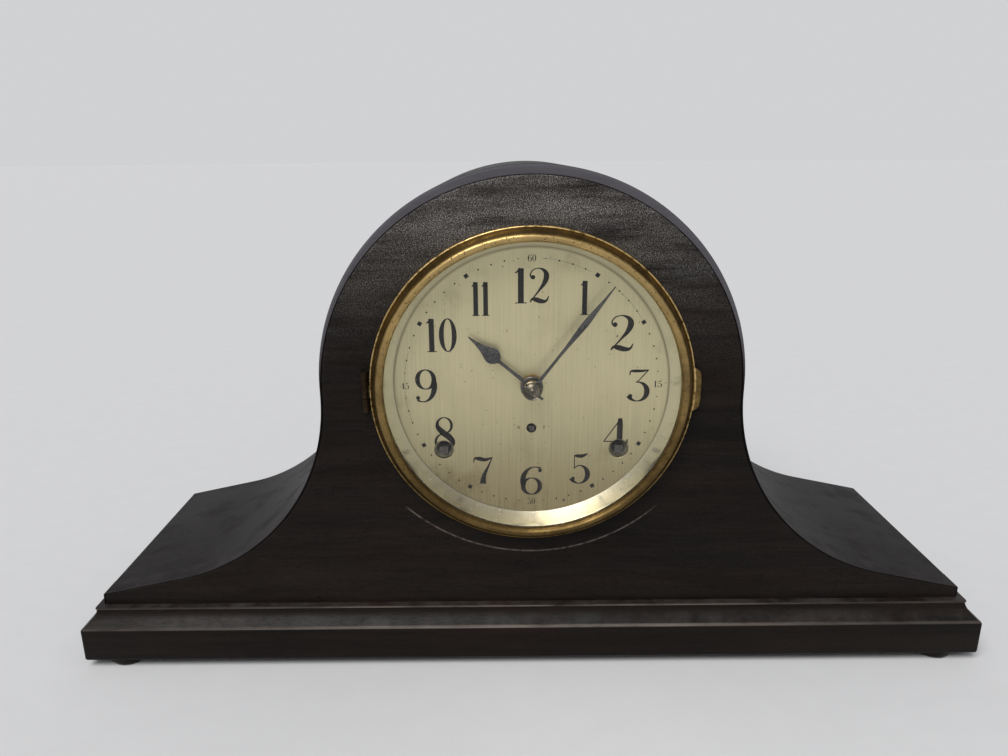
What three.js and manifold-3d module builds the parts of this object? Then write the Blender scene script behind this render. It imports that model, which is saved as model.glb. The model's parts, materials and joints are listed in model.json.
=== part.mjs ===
// Tambour mantel clock: moulded base, bent-wood case, hinged bezel, back door and an eight-day
// time-and-strike pendulum movement. Millimetres, +Z up, the dial faces -Y, the feet stand on Z = 0.
import * as THREE from 'three';
import { mergeVertices } from 'three/addons/utils/BufferGeometryUtils.js';
import Module from 'manifold-3d';

const wasm = await Module();
wasm.setup();

// Clearances
const SEAT = 0.1;
const FIT = 0.3;
const RUN = 0.35;

// Base and feet
const BASE_LENGTH = 520;
const BASE_DEPTH = 151;
const FOOT_HEIGHT = 4.5;
const FOOT_RADIUS = 10;
const FOOT_INSET_X = 21.5;
const FOOT_INSET_Y = 13;
const BASE_HEIGHT = 30.4;
const BASE_FACE_HEIGHT = 20.4;
const LEDGE_INSET = 6.8;
const LEDGE_THICKNESS = 1.3;
const LEDGE_QUIRK = 0.7;
const BASE_EDGE_ROUND = 1.4;

// Case outline
const PANEL_SETBACK = 11.1;
const WING_TIP_INSET = 11.1;
const WING_TIP_HEIGHT = 6.4;
const WING_SLOPE = THREE.MathUtils.degToRad(12);
const ARCH_RADIUS = 114.3;
const ARCH_RISE = 132.2;
const SIDE_STRAIGHT = 6.5;
const SKIN_THICKNESS = 4.5;
const SKIN_TIP_BLOCK = 14;
const PANEL_THICKNESS = 14;
const PANEL_TOP_REVEAL = 5;
const PANEL_SIDE_REVEAL = 0.7;
const BACK_THICKNESS = 8;

// Back door
const DOOR_HALF_WIDTH = 70;
const DOOR_SILL = 16;
const DOOR_THICKNESS = 6;
const DOOR_GAP = 0.8;
const DOOR_HINGE_RADIUS = 1.9;
const DOOR_HINGE_LENGTH = 30;
const DOOR_HINGE_SPREAD = 46;
const DOOR_HINGE_CENTRE_RISE = 80;
const HINGE_LEAF_WIDTH = 11;
const HINGE_LEAF_THICKNESS = 1;
const HINGE_PIN_RADIUS = 0.8;
const BUTTON_LENGTH = 26;
const BUTTON_WIDTH = 9;
const BUTTON_THICKNESS = 1.7;
const BUTTON_BOSS_RADIUS = 2.6;
const BUTTON_BOSS_HEIGHT = 0.2;
const BUTTON_STANDOFF = 8;
const BUTTON_RISE = 47.5;

// Dial, hands and bezel
const DIAL_DROP = 3;
const DIAL_OPENING_RADIUS = 83;
const DIAL_MARGIN = 1;
const DIAL_THICKNESS = 0.8;
const DIAL_DEPTH = 9;
const DIAL_FOOT_RADIUS = 2;
const DIAL_FOOT_INSET = 16;
const WINDING_HOLE_RADIUS = 5.45;
const CENTRE_HOLE_SPARE = 1.4;
const REGULATOR_HOLE_RADIUS = 2.7;
const BEZEL_LAP = 4.3;
const BEZEL_WIDTH = 8;
const BEZEL_HEIGHT = 8.6;
const BEZEL_TAB_REACH = 3.2;
const BEZEL_TAB_HALF_HEIGHT = 12.5;
const BEZEL_TAB_THICKNESS = 2.2;
const BEZEL_TAB_ROOT = 0.6;
const BEZEL_HINGE_RADIUS = 1.9;
const BEZEL_HINGE_LENGTH = 23;
const BEZEL_HINGE_ARM = 0.6;
const GLASS_REBATE = 1.6;
const GLASS_THICKNESS = 1.8;
const GLASS_RISE = 8.5;
const SIGHT_TAPER = 3.6;
const SIGHT_WALL = 0.7;
const HOUR_HAND_SHARE = 0.632;
const HOUR_HAND_ANGLE = THREE.MathUtils.degToRad(309.9);
const HOUR_HAND_DEPTH = 3.2;
const MINUTE_TIP_MARGIN = 5.5;
const MINUTE_HAND_ANGLE = THREE.MathUtils.degToRad(37.7);
const MINUTE_HAND_DEPTH = -1.6;
const HAND_THICKNESS = 1;
const HOUR_STEM_HALF_WIDTH = 0.9;
const HOUR_BULB_OFFSET = 1.9;
const HOUR_BULB_RADIUS = 2.5;
const HOUR_POINT_HALF_WIDTH = 1.2;
const MINUTE_STEM_HALF_WIDTH = 0.95;
const MINUTE_LEAF_HALF_WIDTH = 1.75;
const HOUR_PIPE_RADIUS = 4.6;
const HOUR_HUB_RADIUS = 6.2;
const MINUTE_HUB_RADIUS = 4.6;
const HAND_NUT_RADIUS = 5.3;
const HAND_NUT_HEIGHT = 5.4;

// Movement frame
const MOTION_WORK_GAP = 1.4;
const MOTION_WORK_STEP = 3.4;
const PLATE_THICKNESS = 2;
const PLATE_GAP = 36;
const PLATE_RIM_SIDE = 6;
const PLATE_RIM_TOP = 8;
const PLATE_CORNER = 9;
const BACK_PLATE_SETBACK = 5;
const PILLAR_RADIUS = 3.2;
const UPPER_PILLAR_INSET_SIDE = 16;
const UPPER_PILLAR_INSET_TOP = 18;
const LOWER_PILLAR_OFFSET = 16.5;
const LOWER_PILLAR_RISE = 9;
const MOUNT_FOOT_RADIUS = 4;
const MOUNT_FOOT_MARGIN = 2.1;
const MOUNT_FOOT_BEARING = THREE.MathUtils.degToRad(45.9);
const PIVOT_RADIUS = 0.9;
const ARBOR_RADIUS = 1.2;
const CENTRE_ARBOR_RADIUS = 2;
const MINUTE_STUD_RADIUS = 1.5;
const WINDING_BODY_RADIUS = 3;
const WINDING_PIVOT_RADIUS = 2.2;
const WINDING_SQUARE_PROUD = 1.2;
const REGULATOR_SQUARE = 3;
const REGULATOR_SQUARE_PROUD = 1;
const REGULATOR_COLLAR_RADIUS = 2.4;
const REGULATOR_COLLAR_THICKNESS = 1.2;

// Arbor planting, seen from the front, measured from the dial centre
const CENTRE = new THREE.Vector2(0, 0);
const TIME_WINDING = new THREE.Vector2(49, -37.6);
const SECOND = new THREE.Vector2(25.9, -11.2);
const THIRD = new THREE.Vector2(12.7, 21.8);
const ESCAPE = new THREE.Vector2(0, 41.8);
const VERGE = new THREE.Vector2(0, 60.3);
const MINUTE_STUD = new THREE.Vector2(-10.1, 13.4);
const REGULATOR = new THREE.Vector2(0, -25);
const STRIKE_WINDING = new THREE.Vector2(-49, -37.6);
const STRIKE_SECOND = new THREE.Vector2(-40, -4.4);
const PIN = new THREE.Vector2(-28.4, 17.2);
const WARNING = new THREE.Vector2(-39.7, 32.8);
const FLY = new THREE.Vector2(-28.5, 43.7);
const HAMMER = new THREE.Vector2(-58, 22);

// Tooth counts
const GREAT_TEETH = 36;
const GREAT_PINION = 6;
const SECOND_TEETH = 40;
const CENTRE_PINION = 10;
const CENTRE_TEETH = 60;
const THIRD_PINION = 6;
const THIRD_TEETH = 72;
const ESCAPE_PINION = 6;
const ESCAPE_TEETH = 40;
const HAMMER_DRIVE_TEETH = 36;
const STRIKE_TEETH = 42;
const HAMMER_PINION = 6;
const STRIKE_PINION = 6;
const CANNON_TEETH = 10;
const MINUTE_WHEEL_TEETH = 30;
const MINUTE_PINION_TEETH = 8;
const HOUR_TEETH = 32;
const RATCHET_TEETH = 18;
const LIFTING_PINS = 8;

// Wheels
const FIRST_LAYER_GAP = 2.2;
const GREAT_LAYER_STEP = 5;
const SPRING_LAYER_STEP = 6;
const CENTRE_LAYER_STEP = 5.5;
const PIN_LAYER_STEP = 3.1;
const THIRD_LAYER_STEP = 6.5;
const WARNING_LAYER_STEP = 3;
const ESCAPE_LAYER_STEP = 4;
const WHEEL_THICKNESS = 1.5;
const GREAT_THICKNESS = 2.4;
const ESCAPE_RADIUS = 14;
const RATCHET_RADIUS = 11;
const CLICK_RADIUS = 17.5;
const CLICK_HUB_RADIUS = 3;
const CLICK_STUD_RADIUS = 1.2;
const PALLET_CLEARANCE = 1.2;
const PALLET_THICKNESS = 1.6;
const PALLET_CROTCH = 2;
const PALLET_SPREAD = THREE.MathUtils.degToRad(38);
const LIFTING_PIN_CIRCLE = 12;
const LIFTING_PIN_RADIUS = 0.7;
const LIFTING_PIN_LENGTH = 3.4;
const FLY_HALF_WIDTH = 10;
const FLY_THICKNESS = 0.8;
const FLY_END_GAP = 2;
const WINDING_SQUARE = 4.8;
const WINDING_ARBOR_RADIUS = 3.8;

// Mainsprings, pendulum, hammer and gong
const SPRING_END_GAP = 3.8;
const SPRING_STRIP = 0.6;
const SPRING_INNER = 7;
const SPRING_OUTER = 27.5;
const SPRING_TURNS = 4;
const PENDULUM_STANDOFF = 9;
const PENDULUM_LENGTH = 138;
const SPRING_DROP = 1;
const SUSPENSION_HALF_WIDTH = 2;
const SUSPENSION_THICKNESS = 0.6;
const SUSPENSION_LENGTH = 14;
const COCK_HALF_WIDTH = 9;
const COCK_ARM_HALF_WIDTH = 4;
const COCK_JAW_HALF_WIDTH = 3;
const COCK_THICKNESS = 2;
const COCK_ARM_HEIGHT = 4;
const COCK_OVERHANG = 3;
const BOB_RADIUS = 15;
const BOB_THICKNESS = 9;
const ROD_RADIUS = 0.9;
const CRUTCH_LENGTH = 30;
const CRUTCH_HALF_WIDTH = 2.4;
const CRUTCH_THICKNESS = 1;
const CRUTCH_PRONG = 1;
const CRUTCH_FORK_HEIGHT = 2;
const VERGE_TAIL = 2.2;
const GONG_X = 8;
const GONG_HEIGHT = 66;
const GONG_STANDOFF = 30;
const GONG_INNER = 12;
const GONG_OUTER = 40;
const GONG_TURNS = 3;
const GONG_WIRE_RADIUS = 1.4;
const GONG_POST_HALF_WIDTH = 5;
const GONG_POST_THICKNESS = 9;
const GONG_POST_HEAD = 5;
const GONG_SOLE_HALF_WIDTH = 22;
const GONG_SOLE_FRONT = 8;
const GONG_SOLE_BACK = 15;
const GONG_SOLE_HEIGHT = 8;
const HAMMER_HEAD_RADIUS = 4;
const HAMMER_HEAD_LENGTH = 14;
const STRIKE_GAP = 0.7;
const HAMMER_WIRE_RADIUS = 0.75;
const HAMMER_BOSS_RADIUS = 2.2;
const HAMMER_BOSS_LENGTH = 4;
const HAMMER_WIRE_START = 2.6;
const HAMMER_WIRE_BEND = 8;
const HAMMER_TAIL_ROOT = 1.4;
const HAMMER_TAIL_TIP = 0.6;
const HAMMER_TAIL_THICKNESS = 2;
const HAMMER_TAIL_GAP = 0.7;

// Levels worked out from the sizes above
const baseTop = FOOT_HEIGHT + BASE_HEIGHT;
const caseFoot = baseTop + SEAT;
const panelFront = -BASE_DEPTH / 2 + PANEL_SETBACK;
const panelBack = panelFront + PANEL_THICKNESS;
const caseBack = BASE_DEPTH / 2;
const backFront = caseBack - BACK_THICKNESS;
const tipX = BASE_LENGTH / 2 - WING_TIP_INSET;
const tipZ = baseTop + WING_TIP_HEIGHT;
const archCentre = baseTop + ARCH_RISE;
const archTop = archCentre + ARCH_RADIUS;
const flareTop = archCentre - SIDE_STRAIGHT;
const dialZ = archCentre - DIAL_DROP;
const gongZ = baseTop + GONG_HEIGHT;

// Rings about the dial centre
const dialRadius = DIAL_OPENING_RADIUS - DIAL_MARGIN;
const bezelRadius = DIAL_OPENING_RADIUS + BEZEL_LAP;
const bezelInner = bezelRadius - BEZEL_WIDTH;
const glassEdge = bezelInner + GLASS_REBATE;
const sightRadius = bezelInner - SIGHT_TAPER;
const minuteHandLength = sightRadius - MINUTE_TIP_MARGIN;
const hourHandLength = minuteHandLength * HOUR_HAND_SHARE;

// Depths of the movement behind the face of the front panel
const at = (depth) => panelFront + depth;
const hourLayer = DIAL_DEPTH + DIAL_THICKNESS + MOTION_WORK_GAP;
const minuteLayer = hourLayer + MOTION_WORK_STEP;
const frontPlateDepth = minuteLayer + MOTION_WORK_STEP;
const frontPlateRear = frontPlateDepth + PLATE_THICKNESS;
const plateBackDepth = frontPlateRear + PLATE_GAP;
const plateRearDepth = plateBackDepth + PLATE_THICKNESS;
const pendulumDepth = plateRearDepth + PENDULUM_STANDOFF;
const gongDepth = pendulumDepth + GONG_STANDOFF;
const firstLayer = frontPlateRear + FIRST_LAYER_GAP;
const greatLayer = firstLayer + GREAT_LAYER_STEP;
const ratchetLayer = greatLayer - GREAT_THICKNESS;
const springLayer = greatLayer + SPRING_LAYER_STEP;
const springEnd = plateBackDepth - SPRING_END_GAP;
const centreLayer = greatLayer + CENTRE_LAYER_STEP;
const pinLayer = centreLayer + PIN_LAYER_STEP;
const thirdLayer = centreLayer + THIRD_LAYER_STEP;
const warningLayer = thirdLayer + WARNING_LAYER_STEP;
const escapeLayer = warningLayer + ESCAPE_LAYER_STEP;

// Feet of the movement stand on the wood around the dial opening, and the plates reach past them
const footCircle = DIAL_OPENING_RADIUS + MOUNT_FOOT_MARGIN + MOUNT_FOOT_RADIUS;
const mountFoot = new THREE.Vector2(Math.cos(MOUNT_FOOT_BEARING), Math.sin(MOUNT_FOOT_BEARING))
  .multiplyScalar(footCircle);
const plateHalfWidth = mountFoot.x + PLATE_RIM_SIDE;
const plateTop = mountFoot.y + PLATE_RIM_TOP;
const upperPillar = new THREE.Vector2(
  plateHalfWidth - UPPER_PILLAR_INSET_SIDE,
  plateTop - UPPER_PILLAR_INSET_TOP,
);
const lowerPillar = new THREE.Vector2(LOWER_PILLAR_OFFSET, LOWER_PILLAR_RISE - plateTop);

// Finishes
const finish = (color, roughness, metalness) => ({ color, roughness, metalness });
const WOOD = finish(0x2a1a14, 0.45, 0);
const WOOD_INSIDE = finish(0x6b4a30, 0.8, 0);
const RUBBED_BRASS = finish(0x8a6a2c, 0.4, 1);
const BRASS = finish(0xb08d45, 0.35, 1);
const STEEL = finish(0x8d9096, 0.35, 1);
const BLUED = finish(0x23232c, 0.35, 0.9);
const SILVERED = finish(0xc9bf9d, 0.5, 0.3);
const NICKEL = finish(0xc8c8c4, 0.2, 1);
const IRON = finish(0x2b2b2d, 0.7, 0.8);
const GLASS = finish(0xe8f0f0, 0.05, 0);

// Closed solids
const MERGE_TOLERANCE = 1e-4;

function solid(geometry) {
  const bare = geometry.clone();
  bare.deleteAttribute('normal');
  bare.deleteAttribute('uv');
  const merged = mergeVertices(bare, MERGE_TOLERANCE);
  const points = merged.attributes.position.array;
  const corners = [];
  let volume = 0;
  for (let i = 0; i < merged.index.count; i += 3) {
    const [a, b, c] = [merged.index.array[i], merged.index.array[i + 1], merged.index.array[i + 2]];
    if (a === b || b === c || a === c) continue;
    corners.push(a, b, c);
    const corner = (k) => new THREE.Vector3().fromArray(points, 3 * k);
    volume += corner(a).dot(corner(b).cross(corner(c)));
  }
  if (volume < 0) corners.reverse();
  const mesh = { numProp: 3, vertProperties: new Float32Array(points), triVerts: new Uint32Array(corners) };
  return new wasm.Manifold(new wasm.Mesh(mesh));
}

function join(...solids) {
  return solids.reduce((whole, next) => whole.add(next));
}

function cut(body, ...tools) {
  return tools.reduce((whole, tool) => whole.subtract(tool), body);
}

// A flat outline in X and Z, carried from depth y0 to depth y1
function slab(outline, y0, y1, holes = []) {
  const shape = outline instanceof THREE.Shape ? outline : new THREE.Shape(outline);
  holes.forEach((hole) => shape.holes.push(new THREE.Path(hole)));
  const geometry = new THREE.ExtrudeGeometry(shape, { depth: y1 - y0, bevelEnabled: false });
  geometry.rotateX(Math.PI / 2);
  geometry.translate(0, y1, 0);
  return solid(geometry);
}

// A profile of radius and depth turned about an axis along Y
function turned(profile, sides, x = 0, z = 0) {
  const geometry = new THREE.LatheGeometry(profile.map(([r, y]) => new THREE.Vector2(r, y)), sides);
  geometry.translate(x, 0, z);
  return solid(geometry);
}

function rod(radius, y0, y1, sides = 12, x = 0, z = 0) {
  return turned([[0, y0], [radius, y0], [radius, y1], [0, y1]], sides, x, z);
}

function tube(inner, outer, y0, y1, sides = 24) {
  return turned([[inner, y0], [outer, y0], [outer, y1], [inner, y1], [inner, y0]], sides);
}

function box(x0, x1, y0, y1, z0, z1) {
  const geometry = new THREE.BoxGeometry(x1 - x0, y1 - y0, z1 - z0);
  geometry.translate((x0 + x1) / 2, (y0 + y1) / 2, (z0 + z1) / 2);
  return solid(geometry);
}

// A round bar standing along Z
function post(radius, z0, z1, sides = 12, x = 0, y = 0) {
  const geometry = new THREE.CylinderGeometry(radius, radius, z1 - z0, sides);
  geometry.rotateX(Math.PI / 2);
  geometry.translate(x, y, (z0 + z1) / 2);
  return solid(geometry);
}

function arc(x, z, radius, from, to, steps) {
  return Array.from({ length: steps + 1 }, (_, i) => {
    const angle = from + ((to - from) * i) / steps;
    return new THREE.Vector2(x + radius * Math.cos(angle), z + radius * Math.sin(angle));
  });
}

function circle(x, z, radius, steps) {
  return arc(x, z, radius, 0, 2 * Math.PI, steps).slice(0, -1);
}

const mirrored = (points) => points.map((p) => new THREE.Vector2(-p.x, p.y)).reverse();

// The model and its pieces
const clock = new THREE.Group();

function piece(name, body, { color, roughness, metalness }, x = 0, y = 0, z = 0) {
  const { vertProperties, triVerts } = body.getMesh();
  const geometry = new THREE.BufferGeometry();
  geometry.setAttribute('position', new THREE.BufferAttribute(new Float32Array(vertProperties), 3));
  geometry.setIndex(new THREE.BufferAttribute(new Uint32Array(triVerts), 1));
  geometry.computeVertexNormals();
  const mesh = new THREE.Mesh(geometry, new THREE.MeshStandardMaterial({ color, roughness, metalness }));
  mesh.name = name;
  mesh.position.set(x, y, z);
  clock.add(mesh);
}

// A piece that turns on an arbor of the movement
const planted = (name, body, look, arbor) => piece(name, body, look, arbor.x, 0, dialZ + arbor.y);

// Case outline: arch, short straight side, concave wing and sloping tip, drawn in from the outer skin
function wingRadius(side) {
  const lift = flareTop - tipZ - (tipX - side) * Math.tan(WING_SLOPE);
  return lift / (Math.cos(WING_SLOPE) - (1 - Math.sin(WING_SLOPE)) * Math.tan(WING_SLOPE));
}

function caseOutline({ side, centre, radius, inset = 0, end = tipX }) {
  const wing = wingRadius(side);
  const slopeZ = (x) => tipZ + (tipX - x) * Math.tan(WING_SLOPE) - inset / Math.cos(WING_SLOPE);
  const right = [
    new THREE.Vector2(end, caseFoot),
    new THREE.Vector2(end, slopeZ(end)),
    ...arc(side + wing, flareTop, wing + inset, -Math.PI / 2 - WING_SLOPE, -Math.PI, 14),
  ];
  const arch = arc(0, centre, radius - inset, 0, Math.PI, 36);
  return [...right, ...arch, ...mirrored(right)];
}

const skinLine = { side: ARCH_RADIUS, centre: archCentre, radius: ARCH_RADIUS };
const panelRadius = ARCH_RADIUS - PANEL_SIDE_REVEAL;
const panelCentre = archTop - PANEL_TOP_REVEAL - panelRadius;
const panelLine = { side: panelRadius, centre: panelCentre, radius: panelRadius };

// Base: a board with a ledge, a quirk, a hollow slope and a softened face on its front and ends
function makeBase() {
  const face = FOOT_HEIGHT + BASE_FACE_HEIGHT;
  const ledge = baseTop - LEDGE_THICKNESS;
  const levels = [
    [FOOT_HEIGHT, BASE_EDGE_ROUND],
    [FOOT_HEIGHT + BASE_EDGE_ROUND * 0.4, BASE_EDGE_ROUND * 0.4],
    [FOOT_HEIGHT + BASE_EDGE_ROUND, 0],
    [face - BASE_EDGE_ROUND, 0],
    [face - BASE_EDGE_ROUND * 0.3, BASE_EDGE_ROUND * 0.3],
    [face, BASE_EDGE_ROUND],
  ];
  const hollow = [0.35, 0.7, 1];
  const quirk = LEDGE_INSET + LEDGE_QUIRK;
  hollow.forEach((t) => levels.push([
    face + (ledge - face) * t,
    BASE_EDGE_ROUND + (quirk - BASE_EDGE_ROUND) * Math.sin((t * Math.PI) / 2),
  ]));
  levels.push([ledge, LEDGE_INSET], [baseTop, LEDGE_INSET]);
  const corners = [];
  const x = BASE_LENGTH / 2;
  levels.forEach(([z, inset]) => corners.push(
    -x + inset, -BASE_DEPTH / 2 + inset, z,
    x - inset, -BASE_DEPTH / 2 + inset, z,
    x - inset, BASE_DEPTH / 2, z,
    -x + inset, BASE_DEPTH / 2, z,
  ));
  const faces = [0, 2, 1, 0, 3, 2];
  for (let k = 0; k + 1 < levels.length; k += 1) {
    for (let i = 0; i < 4; i += 1) {
      const [a, b] = [4 * k + i, 4 * k + ((i + 1) % 4)];
      faces.push(a, b, b + 4, a, b + 4, a + 4);
    }
  }
  const top = 4 * (levels.length - 1);
  faces.push(top, top + 1, top + 2, top, top + 2, top + 3);
  const geometry = new THREE.BufferGeometry();
  geometry.setAttribute('position', new THREE.BufferAttribute(new Float32Array(corners), 3));
  geometry.setIndex(faces);
  piece('base_plinth', solid(geometry), WOOD);
}

function makeFeet() {
  const button = new THREE.LatheGeometry([
    new THREE.Vector2(0, 0),
    new THREE.Vector2(FOOT_RADIUS * 0.8, 0),
    new THREE.Vector2(FOOT_RADIUS, FOOT_HEIGHT * 0.35),
    new THREE.Vector2(FOOT_RADIUS, FOOT_HEIGHT - SEAT),
    new THREE.Vector2(0, FOOT_HEIGHT - SEAT),
  ], 16);
  button.rotateX(Math.PI / 2);
  const body = solid(button);
  const x = BASE_LENGTH / 2 - FOOT_INSET_X;
  const y = BASE_DEPTH / 2 - FOOT_INSET_Y;
  piece('foot_front_left', body, WOOD, -x, -y);
  piece('foot_front_right', body, WOOD, x, -y);
  piece('foot_back_left', body, WOOD, -x, y);
  piece('foot_back_right', body, WOOD, x, y);
}

// Bent skin: one wrapped band behind the front panel, with a hood that runs forward over the arch
function makeSkin() {
  const inner = caseOutline({ ...skinLine, inset: SKIN_THICKNESS, end: tipX - SKIN_TIP_BLOCK });
  const band = slab([...caseOutline(skinLine), ...inner.reverse()], panelBack + SEAT, caseBack);
  const lip = panelRadius + SEAT;
  const spring = Math.asin((archCentre - panelCentre) / lip);
  const hood = slab([
    ...arc(0, archCentre, ARCH_RADIUS, 0, Math.PI, 36),
    ...arc(0, panelCentre, lip, Math.PI - spring, spring, 36),
  ], panelFront, panelBack + SEAT + FIT);
  piece('case_skin', join(band, hood), WOOD);
}

const bezelHinge = { x: -bezelRadius - BEZEL_HINGE_RADIUS - FIT, y: panelFront - BEZEL_HINGE_RADIUS };
const doorHinge = { x: DOOR_HALF_WIDTH + DOOR_GAP / 2, y: caseBack };
const doorHingeZ = [-1, 1].map((s) => caseFoot + DOOR_HINGE_CENTRE_RISE + s * DOOR_HINGE_SPREAD);

function makePanels() {
  const dialHole = circle(0, dialZ, DIAL_OPENING_RADIUS, 40);
  const front = slab(caseOutline(panelLine), panelFront, panelBack, [dialHole]);
  const leafEnd = bezelHinge.x + HINGE_LEAF_WIDTH / 2;
  const halfLeaf = BEZEL_HINGE_LENGTH / 2 + FIT;
  const recess = box(
    bezelHinge.x - FIT, leafEnd + FIT, panelFront - FIT, panelFront + HINGE_LEAF_THICKNESS + SEAT,
    dialZ - halfLeaf, dialZ + halfLeaf,
  );
  piece('front_panel', cut(front, recess), WOOD);

  const inside = SKIN_THICKNESS + FIT;
  const line = caseOutline({ ...skinLine, inset: inside, end: tipX - SKIN_TIP_BLOCK - FIT });
  const doorway = doorOutline(0);
  const back = slab(line, backFront, caseBack, [doorway]);
  piece('back_panel', cut(back, ...doorHingeZ.map((z) => leafRecess(z, 1))), WOOD);
}

// Arched doorway, drawn in all round by a gap
function doorOutline(gap) {
  const half = DOOR_HALF_WIDTH - gap;
  return [
    new THREE.Vector2(-half, caseFoot + DOOR_SILL + gap),
    new THREE.Vector2(half, caseFoot + DOOR_SILL + gap),
    ...arc(0, dialZ, half, 0, Math.PI, 24),
  ];
}

// Shallow housing for a door-hinge leaf: side 1 lies on the back panel and side -1 on the door
function leafRecess(z, side) {
  const reach = doorHinge.x + side * (HINGE_LEAF_WIDTH + FIT);
  const half = DOOR_HINGE_LENGTH / 2 + FIT;
  const depth = HINGE_LEAF_THICKNESS + SEAT;
  const [x0, x1] = [Math.min(doorHinge.x, reach), Math.max(doorHinge.x, reach)];
  const leaf = box(x0, x1, caseBack - depth, caseBack + depth, z - half, z + half);
  const barrel = post(DOOR_HINGE_RADIUS + FIT, z - half, z + half, 12, doorHinge.x, doorHinge.y);
  return leaf.add(barrel);
}

// Door hinge: a fixed leaf with its end knuckles and pin, and a door leaf with the middle knuckle
function hingeLeaves(radius, length, pin, leaf) {
  const third = length / 3;
  const bore = post(pin + RUN, -length, length, 12);
  const plate = (x0, x1, z0, z1) => box(x0, x1, leaf.y0, leaf.y1, z0, z1);
  const reach = leaf.width;
  const ends = [-1, 1].map((s) => s * third);
  const knuckle = (z) => post(radius, z - third / 2 + RUN / 2, z + third / 2 - RUN / 2, 12);
  const fixed = join(
    ...ends.map(knuckle),
    post(pin, -length / 2 + RUN, length / 2 - RUN, 12),
    ...ends.map((z) => plate(0, leaf.fixed * reach, z - third / 2 + RUN / 2, z + third / 2 - RUN / 2)
      .subtract(bore)),
    plate(leaf.fixed * (radius + FIT), leaf.fixed * reach, -length / 2 + RUN / 2, length / 2 - RUN / 2),
  );
  const moving = join(
    knuckle(0),
    plate(0, -leaf.fixed * reach, -third / 2 + RUN / 2, third / 2 - RUN / 2),
    plate(-leaf.fixed * (radius + FIT), -leaf.fixed * reach, -length / 2 + RUN / 2, length / 2 - RUN / 2),
  ).subtract(bore);
  return { fixed, moving };
}

function makeDoor() {
  const slabDoor = slab(doorOutline(DOOR_GAP), caseBack - DOOR_THICKNESS, caseBack);
  piece('back_door', cut(slabDoor, ...doorHingeZ.map((z) => leafRecess(z, -1))), WOOD_INSIDE);
  const leaf = { y0: -HINGE_LEAF_THICKNESS, y1: 0, width: HINGE_LEAF_WIDTH, fixed: 1 };
  const hinge = hingeLeaves(DOOR_HINGE_RADIUS, DOOR_HINGE_LENGTH, HINGE_PIN_RADIUS, leaf);
  ['lower', 'upper'].forEach((level, i) => {
    piece(`door_hinge_fixed_${level}`, hinge.fixed, BRASS, doorHinge.x, doorHinge.y, doorHingeZ[i]);
    piece(`door_hinge_moving_${level}`, hinge.moving, BRASS, doorHinge.x, doorHinge.y, doorHingeZ[i]);
  });
  const half = BUTTON_LENGTH / 2 - BUTTON_WIDTH / 2;
  const bar = [
    ...arc(0, half, BUTTON_WIDTH / 2, 0, Math.PI, 8),
    ...arc(0, -half, BUTTON_WIDTH / 2, Math.PI, 2 * Math.PI, 8),
  ];
  const button = join(
    slab(bar, SEAT, BUTTON_THICKNESS),
    rod(BUTTON_BOSS_RADIUS, BUTTON_THICKNESS - SEAT, BUTTON_THICKNESS + BUTTON_BOSS_HEIGHT),
  );
  const x = -DOOR_HALF_WIDTH - BUTTON_STANDOFF;
  piece('turn_button', button, BRASS, x, caseBack, caseFoot + BUTTON_RISE);
}

function makeDial() {
  const y0 = at(DIAL_DEPTH);
  const holes = [
    circle(CENTRE.x, CENTRE.y, HOUR_PIPE_RADIUS + CENTRE_HOLE_SPARE, 14),
    circle(TIME_WINDING.x, TIME_WINDING.y, WINDING_HOLE_RADIUS, 14),
    circle(STRIKE_WINDING.x, STRIKE_WINDING.y, WINDING_HOLE_RADIUS, 14),
    circle(REGULATOR.x, REGULATOR.y, REGULATOR_HOLE_RADIUS, 12),
  ];
  const disc = slab(circle(0, 0, dialRadius, 48), y0, y0 + DIAL_THICKNESS, holes);
  const footRing = dialRadius - DIAL_FOOT_INSET;
  const feet = [1, 3, 6].map((eighth) => {
    const angle = (eighth * Math.PI) / 4;
    const [x, z] = [footRing * Math.cos(angle), footRing * Math.sin(angle)];
    return rod(DIAL_FOOT_RADIUS, y0 + DIAL_THICKNESS / 2, at(frontPlateDepth) - SEAT, 10, x, z);
  });
  planted('dial_plate', join(disc, ...feet), SILVERED, CENTRE);
}

// Bezel: turned brass section with an outer bead, a hollow, a bold roll and a glass rebate
const glassSeat = at(-BEZEL_HEIGHT * 0.52);

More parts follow.
